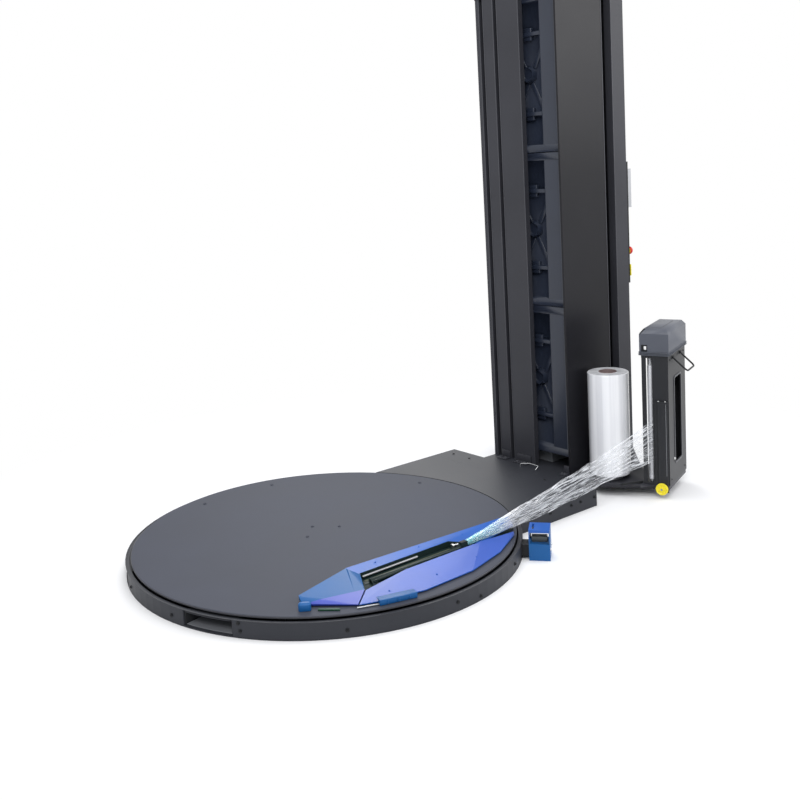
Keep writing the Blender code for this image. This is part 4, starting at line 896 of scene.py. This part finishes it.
paint_faces(made, (clamp_blue, deep_green), case_painted_shade)
push_axis = -Vector(joints["actuator_push"]["axis"]).normalized()
push_across = Vector((-push_axis.y, push_axis.x, 0))
CASE_FACE_R = 0.9652
case_face = push_axis * CASE_FACE_R
bm = bmesh.new()
for side in (-1, 1):
    washer_screw(bm, case_face + push_across * side * 0.030 + Vector((0, 0, 0.045)), push_axis, 0.005)
piece("actuator_screws", bm, bright_steel, "base")

# %% [markdown]
# ## The table's rim and the bridge
#
# The low round wall is closed with button-head screws, and each fork pocket opens through it: inside the
# port a pale sloping plate guides the fork, with a folded lip above it. The bridge's covers are held by
# screws on their sides.

# %% Ring and bridge screws
RING_R = 0.850
bm = bmesh.new()
for degrees, z in (
    (-90.0, 0.036), (-81.6, 0.017), (-146.8, 0.058), (-146.4, 0.028), (-120.0, 0.030), (-168, 0.030),
    (168, 0.030), (143, 0.030), (110, 0.036), (70, 0.036), (-62, 0.036), (50, 0.036),
):
    out = level(degrees)
    washer_screw(bm, out * (RING_R + 0.0003) + Vector((0, 0, z)), out, 0.0052)
for side in (-1, 1):
    for x in (0.90, 1.040, 1.102, 1.197):
        washer_screw(bm, (x, side * 0.4833, 0.046), (0, side, 0), 0.0055)
for y in (-0.42, -0.22, 0.30, 0.42):
    screw(bm, (1.150, y, TABLE_Z), (0, 0, 1), 0.007, 0.003)
piece("base_screws", bm, black_steel, "base")

# %% Fork ports: the sloping floor and the lip
PORT_NEAR, PORT_FAR, PORT_R = 0.247, 0.435, 0.843
RAMP_LONG, RAMP_LOW, RAMP_HIGH, RAMP_RISE = 0.090, 0.0095, 0.0125, 0.010
LIP_DEEP = 0.0035
for side, word in ((-1, "right"), (1, "left")):
    mouth = []
    for step in range(9):
        y = PORT_NEAR + (PORT_FAR - PORT_NEAR) * step / 8
        mouth.append((-math.sqrt(PORT_R**2 - y * y), side * y))
    back = [(x + RAMP_LONG, y) for x, y in mouth]
    bm = bmesh.new()
    for vert in raise_outline(bm, mouth + back[::-1], RAMP_LOW, RAMP_HIGH):
        at_back = any((vert.co.x - x) ** 2 + (vert.co.y - y) ** 2 < 1e-8 for x, y in back)
        if at_back and vert.co.z > (RAMP_LOW + RAMP_HIGH) / 2:
            vert.co.z += RAMP_RISE
    soften(bm, 0.0006, 1)
    piece(f"fork_ramp_{word}", bm, pale_plate, "base")
    bm = bmesh.new()
    lip = [(x - LIP_DEEP, y) for x, y in mouth]
    raise_outline(bm, lip + mouth[::-1], 0.0585, 0.0625)
    raise_outline(bm, lip + mouth[::-1], 0.0055, 0.0085)
    soften(bm, 0.0007, 2)
    piece(f"fork_lip_{word}", bm, ring_grey, "base")

# %% A seal in the gap round the table
bm = bmesh.new()
profile = [(0.8315, 0.0600), (0.8435, 0.0600), (0.8435, 0.0668), (0.8330, 0.0668), (0.8315, 0.0655)]
spin_profile(bm, profile, steps=160)
piece("ring_seal", bm, ring_grey, "base")

# %% The table's edge band, painted as a highlight, and its lifting screws
# A thin ring of paler grey round the plate's edge: painted highlight on the table's rim.
bm = bmesh.new()
low, high = TABLE_Z - 0.0075, TABLE_Z - 0.0018
profile = [(0.8225, low), (0.8262, low), (0.8262, high), (0.8225, high)]
spin_profile(bm, profile, steps=160)
piece("table_edge_highlight", bm, pale_grey_and_edge_highlight, "turntable")
bm = bmesh.new()
up = Vector((0, 0, 1))
for degrees in (15, 75, 105):
    screw(bm, level(degrees) * 0.74 + up * TABLE_Z, up, 0.009, 0.003)
for degrees in (0, 90, 180):
    screw(bm, level(degrees) * 0.085 + up * TABLE_Z, up, 0.008, 0.003)
piece("table_screws", bm, table_grey, "turntable")

# %% [markdown]
# ## The mast's moulded covers
#
# Between the wing and the right side the mast is closed by three tall moulded covers. Each is a tray with a
# rounded lip. Ribs run diagonally across its floor to a hexagonal boss, and two ledges stiffen it. The
# raised shapes and the tray are made in one bmesh and rounded together.

# %% Three ribbed covers
for word in ("lower", "middle", "upper"):
    node_name = f"mast_cover_{word}"
    low, high = box_of(node_name)
    bm = bmesh.new()
    from_node(bm, node_name)
    soften(bm, 0.006, 4)
    rim = 0.035
    floor_x = low.x + 0.0455
    y0, y1, z0, z1 = low.y + rim, high.y - rim, low.z + rim, high.z - rim
    column = y0 + 0.098
    bulge = block(bm, (low.x + 0.0006, y0 - 0.020, z0 - 0.031), (floor_x + 0.002, column, z1 + 0.031))
    soften(bm, 0.016, 6, bulge)
    y0 = column
    middle = Vector((floor_x, (y0 + y1) / 2, (z0 + z1) / 2))
    boss = bmesh.ops.create_cone(
        bm, cap_ends=True, segments=6, radius1=0.046, radius2=0.036, depth=0.030,
        matrix=facing(middle + Vector((-0.013, 0, 0)), (-1, 0, 0)),
    )["verts"]
    ends = [f for v in boss for f in v.link_faces if len(f.verts) == 6]
    face = min(ends, key=lambda f: f.calc_center_median().x)
    bmesh.ops.inset_region(bm, faces=[face], thickness=0.009, use_even_offset=True)
    bmesh.ops.translate(bm, verts=face.verts[:], vec=(0.012, 0, 0))
    added = list(boss)
    for y, z in ((y0, z0), (y1, z0), (y0, z1), (y1, z1)):
        run = Vector((0, y - middle.y, (z - middle.z) * 0.5))
        start, reach = 0.040, run.length - 0.004
        turn = Matrix.Translation(middle) @ run.to_track_quat("Y", "X").to_matrix().to_4x4()
        added += block(bm, (-0.022, start, -0.008), (0.002, reach, 0.008), turn)
    for share in (0.22, 0.78):
        z = z0 + (z1 - z0) * share
        for deep, y_low, y_high, tall in (
            (0.026, y0 - 0.002, y1 + 0.002, 0.010),
            (0.018, middle.y - 0.026, middle.y + 0.026, 0.030),
        ):
            added += block(bm, (floor_x - deep, y_low, z - tall), (floor_x + 0.001, y_high, z + tall))
    soften(bm, 0.0035, 3, added)
    made = piece(f"ribbed_cover_{word}", bm, cover_plastic, "base", 50)
    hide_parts(node_name)

bm = bmesh.new()
for word in ("lower", "middle", "upper"):
    low, high = box_of(f"mast_cover_{word}")
    for y in (low.y + 0.018, high.y - 0.030):
        for z in (low.z + 0.020, (low.z + high.z) / 2, high.z - 0.020):
            screw(bm, (low.x + 0.0003, y, z), (-1, 0, 0), 0.006)
piece("cover_screws", bm, dull_steel, "base")

# %% [markdown]
# ## The mast's folds and fixings
#
# The mast is folded sheet, so it keeps the frame's panels. What it needs is what a folded mast has: hems on
# the edges of its strips, a lip over its slot, screws down its corners, and feet that bolt it to the base.

# %% Hems, slot lips, feet and screws
SHEET_TOP = 2.390
MAST_FOOT = 0.081
MAST_CAP_TOP = 2.420
FEET = ((0.172, 0.060), (0.045, 0.090), (-0.235, 0.030))
bm = bmesh.new()
# Thin strips of the paler grey down the strips' edges and over the slot: painted highlight on the bent edges.
for y in (0.234, 0.206, 0.140, 0.113, -0.0255):
    block(bm, (1.2935, y - 0.0022, MAST_FOOT), (1.2975, y + 0.0022, SHEET_TOP))
for x in (1.6085, 1.6795):
    block(bm, (x - 0.0022, -0.2585, MAST_FOOT), (x + 0.0022, -0.2545, SHEET_TOP))
soften(bm, 0.0011, 2)
piece("mast_hem_highlights", bm, pale_grey_and_edge_highlight, "base")

bm = bmesh.new()
for y, width in FEET:
    block(bm, (1.252, y - width / 2, TABLE_Z + 0.0004), (1.2945, y + width / 2, TABLE_Z + 0.0054))
    block(bm, (1.2890, y - width / 2, TABLE_Z + 0.0040), (1.2945, y + width / 2, TABLE_Z + 0.040))
soften(bm, 0.0014, 2)
piece("mast_feet", bm, mast_grey, "base")
bm = bmesh.new()
for y, width in FEET:
    for side in (-1, 1):
        washer_screw(bm, (1.268, y + side * width * 0.28, TABLE_Z + 0.0055), (0, 0, 1), 0.0052)
for z in (0.30, 0.80, 1.30, 1.80, 2.25):
    for x in (1.360, 1.700):
        washer_screw(bm, (x, 0.2571, z), (0, 1, 0), 0.0045)
    screw(bm, (1.2949, 0.246, z), (-1, 0, 0), 0.0040)
piece("mast_screws", bm, pale_grey_and_edge_highlight, "base")

# %% Wire clip on the base
clip = [(1.225, 0.010, 0.0812), (1.225, 0.010, 0.0960), (1.250, -0.030, 0.0990)]
clip += [(1.255, -0.085, 0.0960), (1.232, -0.085, 0.0812)]
bm = bmesh.new()
bent_rod(bm, clip, 0.0016, 0.008)
piece("wire_clip", bm, bright_steel, "base")

# %% Top cap with rounded folds and four screws
folded("mast_cap_folded", "mast_top_cap", mast_grey, "base", 0.003, 3)
bm = bmesh.new()
for y in (-0.17, 0.17):
    for x in (1.35, 1.71):
        washer_screw(bm, (x, y, MAST_CAP_TOP), (0, 0, 1), 0.008)
piece("cap_screws", bm, dull_steel, "base")

# %% Rear door: hinge leaves and two locks
bm = bmesh.new()
door_low, door_high = box_of("mast_rear_door")
for z in (0.35, 1.23, 2.10):
    block(
        bm, (door_high.x - 0.0005, door_high.y - 0.040, z - 0.030),
        (door_high.x + 0.0030, door_high.y - 0.015, z + 0.030),
    )
soften(bm, 0.0008, 2)
piece("rear_door_leaves", bm, dull_steel, "rear_door")
bm = bmesh.new()
for z in (0.55, 1.90):
    lock = Vector((door_high.x, door_low.y + 0.030, z))
    bar(bm, lock - Vector((0.001, 0, 0)), lock + Vector((0.006, 0, 0)), 0.013, 28)
    block(bm, lock + Vector((0.0055, -0.0015, -0.008)), lock + Vector((0.0075, 0.0015, 0.008)))
soften(bm, 0.0008, 2)
piece("rear_door_locks", bm, black_steel, "rear_door")

# %% [markdown]
# ## The controls on the back
#
# The operator stands behind the mast. The control box carries a screen in a pale housing, two white
# buttons in steel collars, an emergency stop on a yellow ring, and the main switch on its yellow plate.

# %% Screen, collars, buttons and main switch
control_low, control_high = box_of("control_box")
face_x = control_high.x
screen_y = (control_low.y + control_high.y) / 2
button_y = joint_at("isolator_turn").y


def on_panel(z):
    """A matrix on the panel's face at a height, with Z out of it."""
    return facing((face_x, button_y, z), (1, 0, 0))


def middle_height(name):
    """Half-way up a node."""
    return (box_of(name)[0].z + box_of(name)[1].z) / 2


folded("screen_body", "display", pale_housing, "base", 0.0020, 3)
display_low, display_high = box_of("display")
bm = bmesh.new()
block(
    bm, (display_high.x - 0.0006, display_low.y + 0.010, display_low.z + 0.050),
    (display_high.x + 0.0006, display_high.y - 0.010, display_high.z - 0.014),
)
soften(bm, 0.0005, 2)
piece("screen_glass", bm, screen_grey, "base")
bm = bmesh.new()
for column in (-0.026, 0.0, 0.026):
    for row in (0.014, 0.032):
        block(
            bm, (display_high.x - 0.0005, screen_y + column - 0.009, display_low.z + row - 0.005),
            (display_high.x + 0.0016, screen_y + column + 0.009, display_low.z + row + 0.005),
        )
soften(bm, 0.0007, 2)
piece("screen_keys", bm, button_white, "base")

bm = bmesh.new()
collar = [(0.0128, 0.0003), (0.0165, 0.0003), (0.0158, 0.0045), (0.0128, 0.0055)]
for word in ("start", "stop"):
    spin_profile(bm, collar, on_panel(middle_height(f"{word}_button")), 40)
piece("button_collars", bm, bright_steel, "base")
button = [(0, -0.0075), (0.0112, -0.0075), (0.0112, 0.0068), (0.0100, 0.0078), (0.0070, 0.0070), (0, 0.0066)]
for word in ("start", "stop"):
    bm = bmesh.new()
    spin_profile(bm, button, on_panel(middle_height(f"{word}_button")), 40)
    made = piece(f"{word}_cap", bm, button_white, f"{word}_button")
    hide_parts(f"{word}_button")

stop_z = middle_height("e_stop_button")
bm = bmesh.new()
profile = [(0, -0.0075), (0.0092, -0.0075), (0.0092, 0.0160), (0.0165, 0.0195), (0.0198, 0.0220)]
profile += [(0.0200, 0.0262), (0.0185, 0.0302), (0.0140, 0.0330), (0.0070, 0.0340), (0, 0.0342)]
spin_profile(bm, profile, on_panel(stop_z), 56)
made = piece("e_stop_mushroom", bm, signal_red, "e_stop_button")
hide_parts("e_stop_button")
bm = bmesh.new()
profile = [(0.0102, 0.0003), (0.0260, 0.0003), (0.0255, 0.0018), (0.0102, 0.0022)]
spin_profile(bm, profile, on_panel(stop_z), 56)
piece("e_stop_ring", bm, signal_yellow, "base")

folded("isolator_handle", "isolator_knob", signal_red, "isolator_knob", 0.0008, 2)
bm = bmesh.new()
plate_low, plate_high = box_of("isolator_plate")
for y in (plate_low.y + 0.006, plate_high.y - 0.006):
    for z in (plate_low.z + 0.006, plate_high.z - 0.006):
        screw(bm, (plate_high.x, y, z), (1, 0, 0), 0.0028, 0.0016)
for y in (control_low.y + 0.008, control_high.y - 0.008):
    for z in (control_low.z + 0.010, control_high.z - 0.010):
        screw(bm, (face_x, y, z), (1, 0, 0), 0.0040, 0.0022)
piece("control_screws", bm, bright_steel, "base")

# %% [markdown]
# ## The film tower
#
# The tower is a folded case with a chamfered plastic cap. A wide roller stands in its open front, and a low
# door covers the drive. Its side has a tall window with a rounded frame, and a bail handle of bent rod.

# %% Tower cap with its cut corner, its lip lines and its small window
TOWER_TOP = 0.677
CAP_TOP = 0.800
CAP_OVER = 0.005
CUT_SIDE, CUT_DOWN = 0.040, 0.024
cut_at = tower_frame @ Vector((CUT_SIDE - CAP_OVER, TOWER_WIDE + CAP_OVER, CAP_TOP))
cut_out = tower_frame.to_3x3() @ Vector((-1 / CUT_SIDE, 1 / CUT_SIDE, 1 / CUT_DOWN))
bm = bmesh.new()
from_node(bm, "tower_cap")
bmesh.ops.bisect_plane(
    bm, geom=everything(bm), dist=1e-5, plane_co=cut_at, plane_no=cut_out, clear_outer=True
)
bmesh.ops.holes_fill(bm, edges=[edge for edge in bm.edges if edge.is_boundary], sides=0)
bmesh.ops.recalc_face_normals(bm, faces=bm.faces[:])
soften(bm, 0.0030, 3)
made = piece("tower_cap_rounded", bm, cap_plastic, "carriage", 45)
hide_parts("tower_cap")

LIP = 0.0095
far_u, far_v = TOWER_LONG + LIP, TOWER_WIDE + LIP
lip_outline = [(-LIP, -LIP), (far_u, -LIP), (far_u, far_v), (-LIP, far_v)]
bm = bmesh.new()
for rise, thick in ((0.0028, 0.0022), (0.0088, 0.0022), (0.0148, 0.0026)):
    raise_outline(bm, lip_outline, TOWER_TOP + rise, TOWER_TOP + rise + thick, tower_frame)
soften(bm, 0.0009, 2)
piece("cap_lip_lines", bm, cap_plastic, "carriage")

quarter = math.radians(90)
cap_side = tower_frame @ Matrix.Translation((-0.0052, 0.106, 0.712)) @ Matrix.Rotation(-quarter, 4, "Y")
bm = bmesh.new()
block(bm, (-0.016, -0.014, 0), (0.016, 0.014, 0.0012), cap_side)
soften(bm, 0.0005, 2)
piece("cap_window", bm, black_steel, "carriage")
bm = bmesh.new()
block(bm, (-0.006, -0.010, 0.0010), (0.010, 0.001, 0.0022), cap_side)
soften(bm, 0.0005, 2)
piece("cap_window_tab", bm, button_white, "carriage")
bm = bmesh.new()
# Two thin black strips on the cap's top: painted shade in a crease.
block(bm, (0.045, 0.040, 0.7990), (0.245, 0.0425, 0.8006), tower_frame)
block(bm, (0.045, 0.0405, 0.7990), (0.0475, 0.085, 0.8006), tower_frame)
soften(bm, 0.0004, 1)
piece("cap_crease_shade", bm, black_steel, "carriage")

# %% Window frame, side screw and bolts
bm = bmesh.new()
window_side = tower_frame @ Matrix.Translation((0.1515, -0.0002, 0.354)) @ Matrix.Rotation(quarter, 4, "X")
frame_ring(bm, 0.127, 0.422, 0.020, 0.009, 0.0022, window_side)
soften(bm, 0.0006, 2)
piece("window_frame", bm, pale_grey_and_edge_highlight, "carriage")
bm = bmesh.new()
out = -across
screw(bm, tower_frame @ Vector((0.082, -0.0002, 0.172)), out, 0.0062, 0.0035)
piece("tower_side_screw", bm, button_white, "carriage")
bm = bmesh.new()
for u, z in ((0.030, 0.085), (0.262, 0.085), (0.030, 0.655), (0.262, 0.655)):
    screw(bm, tower_frame @ Vector((u, -0.0002, z)), out, 0.0040, 0.0020)
piece("tower_screws", bm, tower_grey, "carriage")

# %% The roller that the film leaves from, and the two pre-stretch rollers
idler = joint_at("idler_roller_spin")
bm = bmesh.new()
z0, z1 = (corner.z for corner in box_of("idler_roller"))
profile = [(0, z0), (0.0060, z0), (0.0060, z0 + 0.010), (0.0135, z0 + 0.0105), (0.0140, z0 + 0.0125)]
profile += [(0.0140, z0 + 0.030), (0.0134, z0 + 0.031), (0.0134, z0 + 0.033), (0.0140, z0 + 0.034)]
profile += [(0.0140, z1 - 0.040), (0.0134, z1 - 0.039), (0.0070, z1 - 0.033), (0.0070, z1), (0, z1)]
spin_profile(bm, profile, Matrix.Translation((idler.x, idler.y, 0)), 48)
made = piece("idler_tube", bm, roller_aluminium, "idler_roller")
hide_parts("idler_roller")

for word in ("front", "rear"):
    node_low, node_high = box_of(f"prestretch_roller_{word}")
    centre = joint_at(f"prestretch_{word}_spin")
    r = (node_high.x - node_low.x) / 2
    z0, z1 = node_low.z, node_high.z
    profile = [(0, z0), (0.008, z0), (0.008, z0 + 0.011), (r - 0.002, z0 + 0.012), (r, z0 + 0.014)]
    for step in range(18):
        z = z0 + 0.030 + step * (z1 - z0 - 0.060) / 18
        profile += [(r, z), (r - 0.0012, z + 0.001), (r - 0.0012, z + 0.003), (r, z + 0.004)]
    profile += [(r, z1 - 0.014), (r - 0.002, z1 - 0.012), (0.008, z1 - 0.011), (0.008, z1), (0, z1)]
    bm = bmesh.new()
    spin_profile(bm, profile, Matrix.Translation((centre.x, centre.y, 0)), 48)
    made = piece(f"grooved_roller_{word}", bm, roller_rubber, f"prestretch_{word}")
    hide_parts(f"prestretch_roller_{word}")

# %% Low door, its screws and fold, and the rope wheel
folded("tower_door_folded", "tower_door", tower_grey, "tower_door", 0.0018, 3)
bm = bmesh.new()
# A thin black strip down the door's fold: painted shade in the crease.
block(bm, (-DOOR_THICK - 0.0016, 0.0485, 0.034), (-DOOR_THICK + 0.0006, 0.0545, 0.460), tower_frame)
soften(bm, 0.0006, 2)
piece("tower_door_fold", bm, black_steel, "tower_door")
bm = bmesh.new()
# A thin strip of pale steel down the door: a painted highlight line on the door's panel.
block(bm, (-DOOR_THICK - 0.0010, 0.0100, 0.110), (-DOOR_THICK + 0.0006, 0.0116, 0.455), tower_frame)
soften(bm, 0.0004, 1)
piece("tower_door_highlight_line", bm, dull_steel, "tower_door")
bm = bmesh.new()
for v in (0.015, 0.046):
    screw(bm, tower_frame @ Vector((-DOOR_THICK / 2, v, 0.464)), (0, 0, 1), 0.0036, 0.0024)
piece("tower_door_screws", bm, button_white, "tower_door")

wheel_at = joint_at("roping_wheel_spin")
bm = bmesh.new()
profile = [(0, 0.0002), (0.0085, 0.0002), (0.0085, 0.0035), (0.0180, 0.0045), (0.0230, 0.0035)]
profile += [(0.0276, 0.0038), (0.0280, 0.0050)]
profile += [(0.0262, 0.0070), (0.0262, 0.0100), (0.0280, 0.0120), (0.0276, 0.0132)]
profile += [(0.0225, 0.0136), (0.0195, 0.0112), (0.0110, 0.0112), (0.0095, 0.0155)]
profile += [(0.0070, 0.0162), (0, 0.0162)]
spin_profile(bm, profile, facing(wheel_at, -along), 56)
for degrees in range(0, 360, 72):
    spoke = [level(degrees) * reach + up * 0.0125 for reach in (0.0095, 0.0205)]
    bar(bm, *[facing(wheel_at, -along) @ end for end in spoke], 0.0014, 12)
made = piece("roping_wheel_spoked", bm, signal_yellow, "roping_wheel")
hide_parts("roping_wheel")
bm = bmesh.new()
screw(bm, wheel_at - along * 0.0160, -along, 0.0055, 0.0024)
piece("roping_wheel_screw", bm, dull_steel, "roping_wheel")

# %% Bail handle of bent rod, with its two bosses
bail = ((0.075, -0.0010, 0.660), (0.075, -0.067, 0.598), (0.200, -0.067, 0.598), (0.200, -0.0010, 0.660))
bm = bmesh.new()
bent_rod(bm, [tower_frame @ Vector(corner) for corner in bail], 0.0040, 0.018)
for u in (0.075, 0.200):
    bar(bm, tower_frame @ Vector((u, 0.0005, 0.661)), tower_frame @ Vector((u, -0.0050, 0.6575)), 0.0085, 24)
made = piece("bail_handle", bm, black_steel, "carriage", 50)
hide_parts("carriage_handle")

# %% Folded tray, its stiffening bar and the back plate's screws
folded("tray_folded", "carriage_tray", mast_grey, "carriage", 0.0016, 2)
bm = bmesh.new()
bar(bm, (1.370, -0.500, 0.066), (1.470, -0.545, 0.066), 0.006, 20)
soften(bm, 0.0010, 2)
for y in (-0.300, -0.430):
    screw(bm, (1.375, y, 0.0598), (0, 0, 1), 0.005, 0.0025)
piece("tray_bar", bm, black_steel, "carriage")
bm = bmesh.new()
for z in (0.12, 0.26, 0.40):
    for x in (1.628, 1.660):
        washer_screw(bm, (x, -0.2772, z), (0, -1, 0), 0.0050)
piece("back_plate_screws", bm, bright_steel, "carriage")

# %% [markdown]
# ## What shows when the rear door is open
#
# Behind the rear door stand the hoist motor and the drive motor, each with cooling ribs. The chain's two
# wheels are smooth rounded discs that stand in for toothed ones.

# %% Motors with cooling ribs
def cool(name, place, radius, first, gap, count):
    """Thin round ribs up a motor's barrel."""
    bm = bmesh.new()
    for step in range(count):
        z = first + step * gap
        profile = [(radius, z), (radius + 0.005, z), (radius + 0.005, z + 0.003), (radius, z + 0.003)]
        spin_profile(bm, profile, Matrix.Translation((*place, 0)), 48)
    piece(name, bm, motor_grey, "base")


for word in ("drive", "lift"):
    folded(f"{word}_motor_cast", f"{word}_motor", motor_grey, "base", 0.0018, 2, 40)
drive_low, drive_high = box_of("drive_motor")
cool("drive_motor_ribs", ((drive_low.x + drive_high.x) / 2, 0), 0.0540, drive_low.z + 0.140, 0.014, 12)
lift_low, lift_high = box_of("lift_motor")
lift_at = (joint_at("lift_pulley_spin").x, lift_high.y - 0.050)
cool("lift_motor_ribs", lift_at, 0.0440, lift_low.z + 0.012, 0.015, 11)

# %% Chain wheels, smoothed
for name, body in (("drive_sprocket", "drive_sprocket"), ("table_sprocket", "turntable")):
    folded(f"{name}_wheel", name, dull_steel, body, 0.0006, 1)

# %% [markdown]
# ## The lifting strap
#
# A flat strap hangs from the pulley to the trolley. It gets rounded edges and a mesh of its own.

# %% The strap, with rounded edges and its own mesh
made = folded("lift_belt", "lift_strap", roller_rubber, "base", 0.0004, 1)
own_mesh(made)
